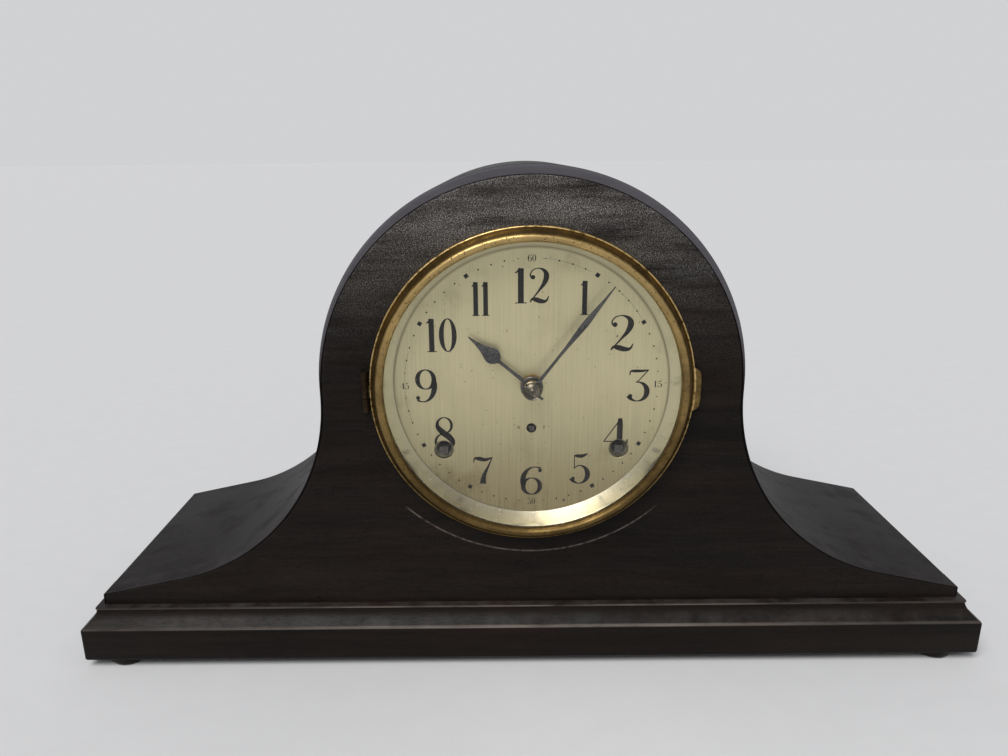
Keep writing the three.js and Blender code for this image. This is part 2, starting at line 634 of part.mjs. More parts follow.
function makeBezel() {
  const y = (share) => at(-BEZEL_HEIGHT * share);
  const width = bezelRadius - bezelInner;
  const r = (share) => bezelInner + width * share;
  const profile = [
    [r(0.98), at(-SEAT)], [r(1), y(0.2)], [r(0.94), y(0.32)], [r(0.84), y(0.33)], [r(0.7), y(0.46)],
    [r(0.58), y(0.78)], [r(0.45), y(0.95)], [r(0.3), y(1)], [r(0.13), y(0.94)], [r(0), y(0.72)],
    [r(0), y(0.56)], [glassEdge + FIT, glassSeat - SEAT], [glassEdge + FIT, at(-SEAT)], [r(0.98), at(-SEAT)],
  ];
  const reach = bezelRadius + BEZEL_TAB_REACH;
  const spread = Math.asin(BEZEL_TAB_HALF_HEIGHT / bezelRadius);
  const tab = slab([
    ...arc(0, 0, bezelRadius - BEZEL_TAB_ROOT, -spread, spread, 6),
    ...arc(0, 0, reach, spread * 0.55, -spread * 0.55, 6),
  ], at(-SEAT - BEZEL_TAB_ROOT - BEZEL_TAB_THICKNESS), at(-SEAT - BEZEL_TAB_ROOT));
  planted('bezel_ring', join(turned(profile, 48), tab), RUBBED_BRASS, CENTRE);

  const curve = (edge, rise, seat) => {
    const radius = (edge * edge + rise * rise) / (2 * rise);
    const half = Math.asin(edge / radius);
    return Array.from({ length: 5 }, (_, i) => {
      const angle = (half * i) / 4;
      return [radius * Math.sin(angle), seat - rise + radius * (1 - Math.cos(angle))];
    });
  };
  const outer = curve(glassEdge, GLASS_RISE, glassSeat);
  const inner = outer.map(([radius, depth]) => [radius, depth + GLASS_THICKNESS]).reverse();
  planted('bezel_glass', turned([...outer, ...inner], 36), GLASS, CENTRE);

  const ringFront = glassSeat + GLASS_THICKNESS + SEAT;
  const ringBack = at(DIAL_DEPTH) - FIT;
  const mouth = bezelInner;
  const sight = turned([
    [mouth, ringFront], [glassEdge, ringFront], [glassEdge, ringFront + SIGHT_WALL],
    [mouth + SIGHT_WALL, ringFront + SIGHT_WALL], [sightRadius + SIGHT_WALL, ringBack],
    [sightRadius, ringBack], [mouth, ringFront],
  ], 40);
  planted('sight_ring', sight, NICKEL, CENTRE);

  const leaf = {
    y0: BEZEL_HINGE_RADIUS + SEAT,
    y1: BEZEL_HINGE_RADIUS + HINGE_LEAF_THICKNESS,
    width: HINGE_LEAF_WIDTH / 2,
  };
  const third = BEZEL_HINGE_LENGTH / 3;
  const bore = post(HINGE_PIN_RADIUS + RUN, -third, third, 12);
  const span = (z) => [z - third / 2 + RUN / 2, z + third / 2 - RUN / 2];
  const knuckle = (z) => post(BEZEL_HINGE_RADIUS, ...span(z), 12);
  const fixed = join(
    knuckle(-third), knuckle(third), post(HINGE_PIN_RADIUS, -third, third, 12),
    ...[-third, third].map((z) => box(-FIT / 2, BEZEL_HINGE_RADIUS, BEZEL_HINGE_ARM, leaf.y1, ...span(z))),
    box(0, leaf.width, leaf.y0, leaf.y1, -1.5 * third + RUN / 2, 1.5 * third - RUN / 2)
      .subtract(box(-FIT, BEZEL_HINGE_RADIUS, 0, 2 * leaf.y1, -third / 2, third / 2)),
  );
  const arm = box(0, BEZEL_HINGE_RADIUS + FIT - SEAT, -BEZEL_HINGE_ARM, BEZEL_HINGE_ARM, ...span(0));
  const moving = join(knuckle(0), arm).subtract(bore);
  piece('bezel_hinge_fixed', fixed, RUBBED_BRASS, bezelHinge.x, bezelHinge.y, dialZ);
  piece('bezel_hinge_moving', moving, RUBBED_BRASS, bezelHinge.x, bezelHinge.y, dialZ);
}

// Wheels and pinions of the movement
const TOOTH_POINTED = [[0, 0.7], [0.5, -0.95]];
const TOOTH_LEAF = [[-0.17, -1], [0, 0.6], [0.17, -1]];
const PINION_SPARE = 0.6;

// Module that fills the distance between two arbors
const moduleFor = (a, b, teethA, teethB) => (2 * a.distanceTo(b)) / (teethA + teethB);
const bearing = (from, to) => Math.atan2(to.y - from.y, to.x - from.x);

function toothLine(teeth, module, phase, form) {
  const pitchRadius = (module * teeth) / 2;
  const step = (2 * Math.PI) / teeth;
  return Array.from({ length: teeth }, (_, i) => form.map(([offset, rise]) => {
    const angle = phase + (i + offset) * step;
    return new THREE.Vector2(Math.cos(angle), Math.sin(angle)).multiplyScalar(pitchRadius + rise * module);
  })).flat();
}

// Leaf pinion, with a space facing the driving wheel
function pinion(leaves, module, toWheel, layer, thickness) {
  const outline = toothLine(leaves, module, toWheel + Math.PI / leaves, TOOTH_LEAF);
  return slab(outline, at(layer - PINION_SPARE), at(layer + thickness + PINION_SPARE));
}

// Plain arbor with a pivot in each plate
function arborBar(radius = ARBOR_RADIUS) {
  const front = frontPlateRear + RUN;
  return join(
    rod(radius, at(front), at(plateBackDepth - RUN), 8),
    rod(PIVOT_RADIUS, at(frontPlateDepth), at(plateRearDepth), 8),
  );
}

const timeModule = moduleFor(TIME_WINDING, SECOND, GREAT_TEETH, GREAT_PINION);
const strikeModule = moduleFor(STRIKE_WINDING, STRIKE_SECOND, GREAT_TEETH, GREAT_PINION);
const secondModule = moduleFor(SECOND, CENTRE, SECOND_TEETH, CENTRE_PINION);
const centreModule = moduleFor(CENTRE, THIRD, CENTRE_TEETH, THIRD_PINION);
const thirdModule = moduleFor(THIRD, ESCAPE, THIRD_TEETH, ESCAPE_PINION);
const pinModule = moduleFor(STRIKE_SECOND, PIN, HAMMER_DRIVE_TEETH, HAMMER_PINION);
const warningModule = moduleFor(PIN, WARNING, STRIKE_TEETH, STRIKE_PINION);
const flyModule = moduleFor(WARNING, FLY, STRIKE_TEETH, STRIKE_PINION);
const minuteModule = moduleFor(CENTRE, MINUTE_STUD, CANNON_TEETH, MINUTE_WHEEL_TEETH);
const hourModule = moduleFor(CENTRE, MINUTE_STUD, HOUR_TEETH, MINUTE_PINION_TEETH);

// Plates, pillars and feet
function makeFrame() {
  const small = [SECOND, THIRD, ESCAPE, VERGE, STRIKE_SECOND, PIN, WARNING, FLY, HAMMER];
  const bore = (arbor, radius) => circle(arbor.x, arbor.y, radius, 8);
  const pivots = small.map((arbor) => bore(arbor, PIVOT_RADIUS + RUN));
  const winding = [TIME_WINDING, STRIKE_WINDING].map((arbor) => bore(arbor, WINDING_ARBOR_RADIUS + RUN));
  const guide = bore(REGULATOR, ARBOR_RADIUS + RUN);
  const outline = (half) => {
    const corner = [
      new THREE.Vector2(half, plateTop - PLATE_CORNER),
      new THREE.Vector2(half - PLATE_CORNER, plateTop),
    ];
    const top = [...corner, ...mirrored(corner)];
    return [...top, ...top.map((p) => p.clone().negate())];
  };
  const front = slab(outline(plateHalfWidth), at(frontPlateDepth), at(frontPlateRear),
    [...pivots, ...winding, guide, bore(CENTRE, CENTRE_ARBOR_RADIUS + RUN)]);
  const stud = rod(MINUTE_STUD_RADIUS, at(hourLayer - SEAT), at(frontPlateRear) - PLATE_THICKNESS / 2, 10,
    MINUTE_STUD.x, MINUTE_STUD.y);
  planted('front_plate', join(front, stud), BRASS, CENTRE);
  const rear = [TIME_WINDING, STRIKE_WINDING].map((arbor) => bore(arbor, WINDING_PIVOT_RADIUS + RUN));
  const back = slab(outline(plateHalfWidth - BACK_PLATE_SETBACK), at(plateBackDepth), at(plateRearDepth),
    [...pivots, ...rear, guide, bore(CENTRE, PIVOT_RADIUS + RUN)]);
  planted('back_plate', back, BRASS, CENTRE);

  const bar = rod(PILLAR_RADIUS, at(frontPlateRear) + SEAT, at(plateBackDepth) - SEAT);
  const shoe = rod(MOUNT_FOOT_RADIUS, panelBack + SEAT, at(frontPlateDepth) - SEAT);
  const corner = ({ x, y }, right, up) => new THREE.Vector2(right * x, up * y);
  [[-1, 'left'], [1, 'right']].forEach(([right, hand]) => {
    planted(`pillar_lower_${hand}`, bar, STEEL, corner(lowerPillar, right, 1));
    planted(`pillar_upper_${hand}`, bar, STEEL, corner(upperPillar, right, 1));
    planted(`movement_foot_lower_${hand}`, shoe, STEEL, corner(mountFoot, right, -1));
    planted(`movement_foot_upper_${hand}`, shoe, STEEL, corner(mountFoot, right, 1));
  });
}

// Winding arbor with its ratchet, great wheel, click and mainspring
function makeBarrel(prefix, arbor, driven, module, pillar) {
  const wheel = slab(
    toothLine(GREAT_TEETH, module, bearing(arbor, driven), TOOTH_POINTED),
    at(greatLayer), at(greatLayer + GREAT_THICKNESS),
    [circle(0, 0, WINDING_BODY_RADIUS + RUN, 12)],
  );
  const studEnd = at(greatLayer + GREAT_THICKNESS / 2);
  const stud = rod(CLICK_STUD_RADIUS, at(ratchetLayer), studEnd, 8, CLICK_RADIUS, 0);
  planted(`${prefix}_great_wheel`, join(wheel, stud), BRASS, arbor);

  const half = WINDING_SQUARE / 2;
  const ratchetThickness = GREAT_THICKNESS - 2 * FIT / 1.5;
  const ratchet = toothLine(RATCHET_TEETH, 1, 0, [[0, 0], [0.9, 0]])
    .map((p, i) => p.setLength(RATCHET_RADIUS * (i % 2 ? 0.82 : 1)));
  const winder = join(
    box(-half, half, at(DIAL_DEPTH - WINDING_SQUARE_PROUD), at(frontPlateDepth), -half, half),
    rod(WINDING_ARBOR_RADIUS, at(frontPlateDepth - RUN), at(ratchetLayer + SEAT)),
    slab(ratchet, at(ratchetLayer), at(ratchetLayer + ratchetThickness)),
    rod(WINDING_BODY_RADIUS, at(ratchetLayer), at(plateBackDepth - RUN)),
    rod(SPRING_INNER - SPRING_STRIP - FIT, at(springLayer), at(springEnd)),
    rod(WINDING_PIVOT_RADIUS, at(plateBackDepth - 2 * RUN), at(plateRearDepth)),
  );
  planted(`${prefix}_winding_arbor`, winder, STEEL, arbor);

  const nose = RATCHET_RADIUS + RUN;
  const clickOutline = [
    ...arc(0, 0, CLICK_HUB_RADIUS, -2.4, 0.9, 6),
    new THREE.Vector2(nose * Math.cos(0.66) - CLICK_RADIUS, nose * Math.sin(0.66) + 0.8),
    new THREE.Vector2(nose * Math.cos(0.6) - CLICK_RADIUS + 0.2, nose * Math.sin(0.6) + 0.2),
  ];
  const click = slab(clickOutline, at(ratchetLayer), at(ratchetLayer + ratchetThickness),
    [circle(0, 0, CLICK_STUD_RADIUS + FIT, 8)]);
  planted(`${prefix}_click`, click, STEEL, new THREE.Vector2(arbor.x + CLICK_RADIUS, arbor.y));

  const hook = bearing(arbor, pillar);
  const steps = SPRING_TURNS * 14;
  const coil = (offset) => Array.from({ length: steps + 1 }, (_, i) => {
    const share = i / steps;
    const angle = hook - 2 * Math.PI * SPRING_TURNS * (1 - share);
    const radius = SPRING_INNER + (SPRING_OUTER - SPRING_INNER) * share + offset;
    return new THREE.Vector2(radius * Math.cos(angle), radius * Math.sin(angle));
  });
  const reach = arbor.distanceTo(pillar) - PILLAR_RADIUS - SEAT;
  const [along, across] = [new THREE.Vector2(Math.cos(hook), Math.sin(hook)), SPRING_STRIP / 2];
  const tail = [[SPRING_OUTER, -across], [reach, -across], [reach, across], [SPRING_OUTER, across]]
    .map(([r, s]) => new THREE.Vector2(r * along.x - s * along.y, r * along.y + s * along.x));
  const [y0, y1] = [at(springLayer), at(springEnd)];
  const strip = slab([...coil(SPRING_STRIP / 2), ...coil(-SPRING_STRIP / 2).reverse()], y0, y1);
  planted(`${prefix}_mainspring`, join(strip, slab(tail, y0, y1)), BLUED, arbor);
}

// Going train from the great wheel to the pendulum
function makeTimeTrain() {
  const second = join(
    arborBar(),
    pinion(GREAT_PINION, timeModule, bearing(SECOND, TIME_WINDING), greatLayer, GREAT_THICKNESS),
    slab(toothLine(SECOND_TEETH, secondModule, bearing(SECOND, CENTRE), TOOTH_POINTED), at(firstLayer),
      at(firstLayer + WHEEL_THICKNESS)),
  );
  planted('second_wheel', second, BRASS, SECOND);

  const cannonPhase = bearing(CENTRE, MINUTE_STUD) + Math.PI / CANNON_TEETH;
  const cannon = toothLine(CANNON_TEETH, minuteModule, cannonPhase, TOOTH_LEAF);
  const centre = join(
    arborBar(),
    rod(CENTRE_ARBOR_RADIUS, at(MINUTE_HAND_DEPTH - HAND_NUT_HEIGHT / 2), at(firstLayer)),
    slab(cannon, at(minuteLayer - SEAT), at(minuteLayer + WHEEL_THICKNESS + SEAT)),
    pinion(CENTRE_PINION, secondModule, bearing(CENTRE, SECOND), firstLayer, WHEEL_THICKNESS),
    slab(toothLine(CENTRE_TEETH, centreModule, bearing(CENTRE, THIRD), TOOTH_POINTED), at(centreLayer),
      at(centreLayer + WHEEL_THICKNESS)),
  );
  planted('centre_arbor', centre, BRASS, CENTRE);

  const third = join(
    arborBar(),
    pinion(THIRD_PINION, centreModule, bearing(THIRD, CENTRE), centreLayer, WHEEL_THICKNESS),
    slab(toothLine(THIRD_TEETH, thirdModule, bearing(THIRD, ESCAPE), TOOTH_POINTED), at(thirdLayer),
      at(thirdLayer + WHEEL_THICKNESS)),
  );
  planted('third_wheel', third, BRASS, THIRD);

  const sawtooth = toothLine(ESCAPE_TEETH, 1, Math.PI / 2, [[0, 0], [0.3, 0]])
    .map((p, i) => p.setLength(ESCAPE_RADIUS * (i % 2 ? 0.86 : 1)));
  const escape = join(
    arborBar(PIVOT_RADIUS),
    pinion(ESCAPE_PINION, thirdModule, bearing(ESCAPE, THIRD), thirdLayer, WHEEL_THICKNESS),
    slab(sawtooth, at(escapeLayer), at(escapeLayer + WHEEL_THICKNESS)),
  );
  planted('escape_wheel', escape, BRASS, ESCAPE);

  const drop = VERGE.y - ESCAPE.y;
  const gap = ESCAPE_RADIUS + PALLET_CLEARANCE;
  const [sin, cos] = [Math.sin(PALLET_SPREAD), Math.cos(PALLET_SPREAD)];
  const nib = gap + PALLET_THICKNESS;
  const half = [
    new THREE.Vector2(gap * sin, gap * cos - drop),
    new THREE.Vector2(nib * sin + PALLET_THICKNESS * 0.75, nib * cos - drop),
    new THREE.Vector2(gap * sin + PALLET_THICKNESS, -drop * 0.06),
    new THREE.Vector2(PALLET_CROTCH * 1.3, PALLET_CROTCH),
  ];
  const under = new THREE.Vector2(gap * sin - PALLET_THICKNESS * 0.4, -drop * 0.2);
  const crotch = new THREE.Vector2(0, -PALLET_CROTCH);
  const strip = [...half, ...mirrored(half), ...mirrored([under]), crotch, under];
  const forkZ = -CRUTCH_LENGTH;
  const crutchFront = plateRearDepth + CRUTCH_THICKNESS;
  const crutchRear = crutchFront + CRUTCH_THICKNESS;
  const slot = ROD_RADIUS + FIT;
  const forkEnd = at(pendulumDepth) + 2 * slot;
  const fork = box(-slot - CRUTCH_PRONG, slot + CRUTCH_PRONG, at(crutchRear - SEAT), forkEnd,
    forkZ, forkZ + CRUTCH_FORK_HEIGHT);
  const opening = box(-slot, slot, at(crutchRear), forkEnd + slot, 2 * forkZ, 0);
  const verge = join(
    arborBar(),
    rod(PIVOT_RADIUS, at(plateRearDepth - RUN), at(plateRearDepth + VERGE_TAIL), 8),
    slab(strip, at(escapeLayer) - FIT, at(escapeLayer + WHEEL_THICKNESS) + FIT),
    box(-CRUTCH_HALF_WIDTH, CRUTCH_HALF_WIDTH, at(crutchFront), at(crutchRear), forkZ, CRUTCH_HALF_WIDTH),
    fork.subtract(opening),
  );
  planted('verge', verge, STEEL, VERGE);

  const top = VERGE.y - SPRING_DROP;
  const thin = SUSPENSION_THICKNESS / 2;
  const suspension = box(-SUSPENSION_HALF_WIDTH, SUSPENSION_HALF_WIDTH, at(pendulumDepth) - thin,
    at(pendulumDepth) + thin, -SPRING_DROP - SUSPENSION_LENGTH, -SPRING_DROP);
  const stemTop = SUSPENSION_HALF_WIDTH - SPRING_DROP - SUSPENSION_LENGTH;
  const stem = post(ROD_RADIUS, -PENDULUM_LENGTH + BOB_RADIUS + FIT, stemTop, 8, 0, at(pendulumDepth));
  planted('pendulum_rod', join(suspension, stem), STEEL, VERGE);
  const lens = turned([
    [0, -BOB_THICKNESS / 2], [BOB_RADIUS * 0.6, -BOB_THICKNESS * 0.36], [BOB_RADIUS, -BOB_THICKNESS * 0.08],
    [BOB_RADIUS, BOB_THICKNESS * 0.08], [BOB_RADIUS * 0.6, BOB_THICKNESS * 0.36], [0, BOB_THICKNESS / 2],
  ], 24);
  piece('pendulum_bob', lens, BRASS, VERGE.x, at(pendulumDepth), dialZ + VERGE.y - PENDULUM_LENGTH);
  const armFoot = VERGE.y + COCK_OVERHANG;
  const armTop = armFoot + COCK_ARM_HEIGHT;
  const seat = at(plateRearDepth) + SEAT;
  const armEnd = at(pendulumDepth) + COCK_OVERHANG;
  const cock = join(
    box(-COCK_HALF_WIDTH, COCK_HALF_WIDTH, seat, at(plateRearDepth) + COCK_THICKNESS, armFoot, plateTop),
    box(-COCK_ARM_HALF_WIDTH, COCK_ARM_HALF_WIDTH, seat, armEnd, armFoot, armTop),
    box(-COCK_JAW_HALF_WIDTH, COCK_JAW_HALF_WIDTH, at(pendulumDepth) - COCK_THICKNESS, armEnd, top + FIT,
      armFoot + COCK_THICKNESS / 2),
  );
  planted('suspension_cock', cock, BRASS, CENTRE);
  const key = REGULATOR_SQUARE / 2;
  const collar = at(frontPlateRear) + FIT;
  const regulator = join(
    box(-key, key, at(DIAL_DEPTH - REGULATOR_SQUARE_PROUD), at(frontPlateDepth) - key, -key, key),
    rod(ARBOR_RADIUS, at(frontPlateDepth) - REGULATOR_SQUARE, at(plateRearDepth) + ARBOR_RADIUS, 8),
    rod(REGULATOR_COLLAR_RADIUS, collar, collar + REGULATOR_COLLAR_THICKNESS, 10),
  );
  planted('regulator_arbor', regulator, STEEL, REGULATOR);
}

// Motion work and hands
function makeHands() {
  const inward = bearing(MINUTE_STUD, CENTRE);
  const studBore = circle(0, 0, MINUTE_STUD_RADIUS + RUN, 10);
  const minute = join(
    slab(toothLine(MINUTE_WHEEL_TEETH, minuteModule, inward, TOOTH_POINTED), at(minuteLayer),
      at(minuteLayer + WHEEL_THICKNESS), [studBore]),
    slab(toothLine(MINUTE_PINION_TEETH, hourModule, inward + Math.PI / MINUTE_PINION_TEETH, TOOTH_LEAF),
      at(hourLayer - SEAT), at(minuteLayer + SEAT), [studBore]),
  );
  planted('minute_wheel', minute, BRASS, MINUTE_STUD);
  const pipeInner = CENTRE_ARBOR_RADIUS + RUN;
  const hour = join(
    slab(toothLine(HOUR_TEETH, hourModule, bearing(CENTRE, MINUTE_STUD), TOOTH_POINTED), at(hourLayer),
      at(hourLayer + WHEEL_THICKNESS), [circle(0, 0, pipeInner + SEAT, 12)]),
    tube(pipeInner + SEAT, HOUR_PIPE_RADIUS, at(HOUR_HAND_DEPTH - FIT), at(hourLayer + SEAT), 12),
  );
  planted('hour_wheel', hour, BRASS, CENTRE);

  const spade = [
    new THREE.Vector2(HOUR_STEM_HALF_WIDTH, hourHandLength * 0.57),
    ...arc(HOUR_BULB_OFFSET, hourHandLength * 0.65, HOUR_BULB_RADIUS, -1.9, 0.9, 7),
    new THREE.Vector2(HOUR_POINT_HALF_WIDTH, hourHandLength * 0.83),
    new THREE.Vector2(0, hourHandLength),
  ];
  const hourLine = [...arc(0, 0, HOUR_HUB_RADIUS, -Math.PI / 2, 1.28, 12), ...spade];
  hand('hour_hand', hourLine, HOUR_PIPE_RADIUS + SEAT, HOUR_HAND_DEPTH, HOUR_HAND_ANGLE);
  const leaf = [
    new THREE.Vector2(MINUTE_STEM_HALF_WIDTH, minuteHandLength * 0.4),
    new THREE.Vector2(MINUTE_LEAF_HALF_WIDTH, minuteHandLength * 0.62),
    new THREE.Vector2(MINUTE_LEAF_HALF_WIDTH * 0.92, minuteHandLength * 0.7),
    new THREE.Vector2(0, minuteHandLength),
  ];
  const minuteLine = [...arc(0, 0, MINUTE_HUB_RADIUS, -Math.PI / 2, 1.25, 12), ...leaf];
  hand('minute_hand', minuteLine, CENTRE_ARBOR_RADIUS + SEAT, MINUTE_HAND_DEPTH, MINUTE_HAND_ANGLE);

  const back = at(MINUTE_HAND_DEPTH) - SEAT;
  const bore = CENTRE_ARBOR_RADIUS + SEAT;
  const rise = (share) => back - HAND_NUT_HEIGHT * share;
  const dome = [[1, 0], [0.92, 0.3], [0.7, 0.68], [0.38, 0.93], [0, 1]]
    .map(([across, up]) => [HAND_NUT_RADIUS * across, rise(up)]);
  const nut = turned([[bore, back], ...dome, [0, rise(0.6)], [bore, rise(0.6)], [bore, back]], 24);
  planted('hand_nut', nut, RUBBED_BRASS, CENTRE);
}

// A flat hand from its right half outline, turned to its place on the dial
function hand(name, right, bore, depth, angle) {
  const outline = [...right, ...mirrored(right.slice(1, -1))];
  const turn = (p) => new THREE.Vector2(
    p.x * Math.cos(angle) + p.y * Math.sin(angle),
    -p.x * Math.sin(angle) + p.y * Math.cos(angle),
  );
  const eye = circle(0, 0, bore, 16);
  const body = slab(outline.map(turn), at(depth), at(depth + HAND_THICKNESS), [eye]);
  planted(name, body, BLUED, CENTRE);
}

// Strike train, hammer and gong
function makeStrike() {
  const wheel = (teeth, module, from, to, layer) => slab(
    toothLine(teeth, module, bearing(from, to), TOOTH_POINTED), at(layer), at(layer + WHEEL_THICKNESS));
  const second = join(
    arborBar(),
    pinion(GREAT_PINION, strikeModule, bearing(STRIKE_SECOND, STRIKE_WINDING), greatLayer, GREAT_THICKNESS),
    wheel(HAMMER_DRIVE_TEETH, pinModule, STRIKE_SECOND, PIN, firstLayer),
  );
  planted('strike_second_wheel', second, BRASS, STRIKE_SECOND);
  const pins = Array.from({ length: LIFTING_PINS }, (_, i) => {
    const angle = (i * 2 * Math.PI) / LIFTING_PINS;
    const [x, z] = [LIFTING_PIN_CIRCLE * Math.cos(angle), LIFTING_PIN_CIRCLE * Math.sin(angle)];
    const root = pinLayer + WHEEL_THICKNESS;
    return rod(LIFTING_PIN_RADIUS, at(root - WHEEL_THICKNESS / 2), at(root + LIFTING_PIN_LENGTH), 5, x, z);
  });
  const pin = join(
    arborBar(),
    pinion(HAMMER_PINION, pinModule, bearing(PIN, STRIKE_SECOND), firstLayer, WHEEL_THICKNESS),
    wheel(STRIKE_TEETH, warningModule, PIN, WARNING, pinLayer),
    ...pins,
  );
  planted('pin_wheel', pin, BRASS, PIN);
  const warning = join(
    arborBar(),
    pinion(STRIKE_PINION, warningModule, bearing(WARNING, PIN), pinLayer, WHEEL_THICKNESS),
    wheel(STRIKE_TEETH, flyModule, WARNING, FLY, warningLayer),
  );
  planted('warning_wheel', warning, BRASS, WARNING);
  const blade = FLY_THICKNESS / 2;
  const fly = join(
    arborBar(PIVOT_RADIUS),
    pinion(STRIKE_PINION, flyModule, bearing(FLY, WARNING), warningLayer, WHEEL_THICKNESS),
    box(-FLY_HALF_WIDTH, FLY_HALF_WIDTH, at(escapeLayer), at(plateBackDepth - FLY_END_GAP), -blade, blade),
  );
  planted('fly', fly, BRASS, FLY);

  const tailLength = HAMMER.distanceTo(PIN) - LIFTING_PIN_CIRCLE - LIFTING_PIN_RADIUS - RUN;
  const aim = bearing(HAMMER, PIN);
  const taper = [
    [0, -HAMMER_TAIL_ROOT], [tailLength, -HAMMER_TAIL_TIP],
    [tailLength, HAMMER_TAIL_TIP], [0, HAMMER_TAIL_ROOT],
  ];
  const tail = taper.map(([r, s]) => new THREE.Vector2(
    r * Math.cos(aim) - s * Math.sin(aim),
    r * Math.sin(aim) + s * Math.cos(aim),
  ));
  const tailDepth = pinLayer + WHEEL_THICKNESS + HAMMER_TAIL_GAP;
  const headX = GONG_X - GONG_OUTER - GONG_WIRE_RADIUS - STRIKE_GAP - HAMMER.x;
  const headZ = gongZ - dialZ - HAMMER.y;
  const headMiddle = headX - HAMMER_HEAD_LENGTH / 2;
  const wire = new THREE.CatmullRomCurve3([
    new THREE.Vector3(0, at(plateRearDepth + HAMMER_WIRE_START), 0),
    new THREE.Vector3(headMiddle * 0.02, at(plateRearDepth + HAMMER_WIRE_BEND), headZ * 0.08),
    new THREE.Vector3(headMiddle * 0.6, at(gongDepth - HAMMER_WIRE_BEND), headZ * 0.6),
    new THREE.Vector3(headMiddle, at(gongDepth), headZ),
  ]);
  const head = new THREE.CylinderGeometry(HAMMER_HEAD_RADIUS, HAMMER_HEAD_RADIUS, HAMMER_HEAD_LENGTH, 14);
  head.rotateZ(Math.PI / 2);
  head.translate(headMiddle, at(gongDepth), headZ);
  const hammer = join(
    arborBar(),
    rod(PIVOT_RADIUS, at(plateRearDepth - RUN), at(plateRearDepth + HAMMER_BOSS_LENGTH / 2), 8),
    rod(HAMMER_BOSS_RADIUS, at(plateRearDepth + RUN), at(plateRearDepth + HAMMER_BOSS_LENGTH), 10),
    slab(tail, at(tailDepth), at(tailDepth + HAMMER_TAIL_THICKNESS)),
    wireSolid(wire, HAMMER_WIRE_RADIUS, 10),
    solid(head),
  );
  planted('hammer', hammer, STEEL, HAMMER);
}

// A round wire swept along a curve
function wireSolid(curve, radius, steps) {
  const section = new THREE.Shape(circle(0, 0, radius, 6));
  return solid(new THREE.ExtrudeGeometry(section, { extrudePath: curve, steps, bevelEnabled: false }));
}

const STEPS_PER_TURN = 24;

// Flat spiral that opens steadily from the inner to the outer radius
class Spiral extends THREE.Curve {
  getPoint(share, target = new THREE.Vector3()) {
    const angle = Math.PI + 2 * Math.PI * GONG_TURNS * share;
    const radius = GONG_INNER + (GONG_OUTER - GONG_INNER) * share;
    return target.set(radius * Math.cos(angle), 0, radius * Math.sin(angle));
  }
}

// Least clear space between one loop of the spiral and the next
function leastGap(curve, turns, radius) {
  const steps = turns * STEPS_PER_TURN;
  const points = Array.from({ length: steps + 1 }, (_, i) => curve.getPoint(i / steps));
  let least = Infinity;
  points.forEach((p, i) => points.slice(i + STEPS_PER_TURN / 2).forEach((q) => {
    least = Math.min(least, p.distanceTo(q));
  }));
  return least - 2 * radius;
}

function makeGong() {
  const spiral = new Spiral();
  const coil = wireSolid(spiral, GONG_WIRE_RADIUS, GONG_TURNS * STEPS_PER_TURN);
  piece('gong_coil', coil, BLUED, GONG_X, at(gongDepth), gongZ);
  console.log(`gong coil least gap ${leastGap(spiral, GONG_TURNS, GONG_WIRE_RADIUS).toFixed(2)} mm`);
  const x = GONG_X - GONG_INNER;
  const boss = at(gongDepth) + GONG_WIRE_RADIUS + SEAT;
  const block = join(
    box(x - GONG_POST_HALF_WIDTH, x + GONG_POST_HALF_WIDTH, boss, boss + GONG_POST_THICKNESS,
      baseTop + SEAT, gongZ + GONG_POST_HEAD),
    box(x - GONG_SOLE_HALF_WIDTH, x + GONG_SOLE_HALF_WIDTH, boss - GONG_SOLE_FRONT, boss + GONG_SOLE_BACK,
      baseTop + SEAT, baseTop + GONG_SOLE_HEIGHT),
  );
  piece('gong_block', block, IRON);
}

makeBase();
makeFeet();
makeSkin();
makePanels();
makeDoor();
makeDial();
makeBezel();
makeFrame();
makeBarrel('time', TIME_WINDING, SECOND, timeModule, lowerPillar);
makeBarrel('strike', STRIKE_WINDING, STRIKE_SECOND, strikeModule, mirrored([lowerPillar])[0]);
makeTimeTrain();
makeHands();
makeStrike();
makeGong();

export default clock;
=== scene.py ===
"""Dresses the tambour mantel clock: smooth wood and brass forms, dial print, finishes, studio and camera."""

import json
import logging
import math
from dataclasses import dataclass, field, replace
from enum import Enum
from typing import Callable, Sequence

import bmesh
import bpy
from mathutils import Matrix, Vector
from mathutils.geometry import tessellate_polygon


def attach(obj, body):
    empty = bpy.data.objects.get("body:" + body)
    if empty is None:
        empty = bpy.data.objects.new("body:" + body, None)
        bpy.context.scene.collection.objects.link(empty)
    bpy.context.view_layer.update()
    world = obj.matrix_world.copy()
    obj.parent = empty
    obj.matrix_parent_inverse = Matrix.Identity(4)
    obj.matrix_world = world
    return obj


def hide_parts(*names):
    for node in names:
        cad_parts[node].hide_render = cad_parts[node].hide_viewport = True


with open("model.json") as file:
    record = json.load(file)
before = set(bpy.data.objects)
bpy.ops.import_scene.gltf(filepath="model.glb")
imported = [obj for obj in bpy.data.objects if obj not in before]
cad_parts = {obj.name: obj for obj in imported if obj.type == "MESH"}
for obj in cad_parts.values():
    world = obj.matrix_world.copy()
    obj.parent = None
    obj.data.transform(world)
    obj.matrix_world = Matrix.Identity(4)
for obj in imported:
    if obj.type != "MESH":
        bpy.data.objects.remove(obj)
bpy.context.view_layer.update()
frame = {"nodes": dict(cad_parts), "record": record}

log = logging.getLogger("tambour_clock")
MM = 0.001
DIAL_Z = 164.1
BEZEL_REACH = 0.083
ARCH_STEPS = 120
Point2 = tuple[float, float]
Point3 = tuple[float, float, float]
Outline = Callable[[float], list[Point2]]
Colour = tuple[float, float, float]
Socket = bpy.types.NodeSocket
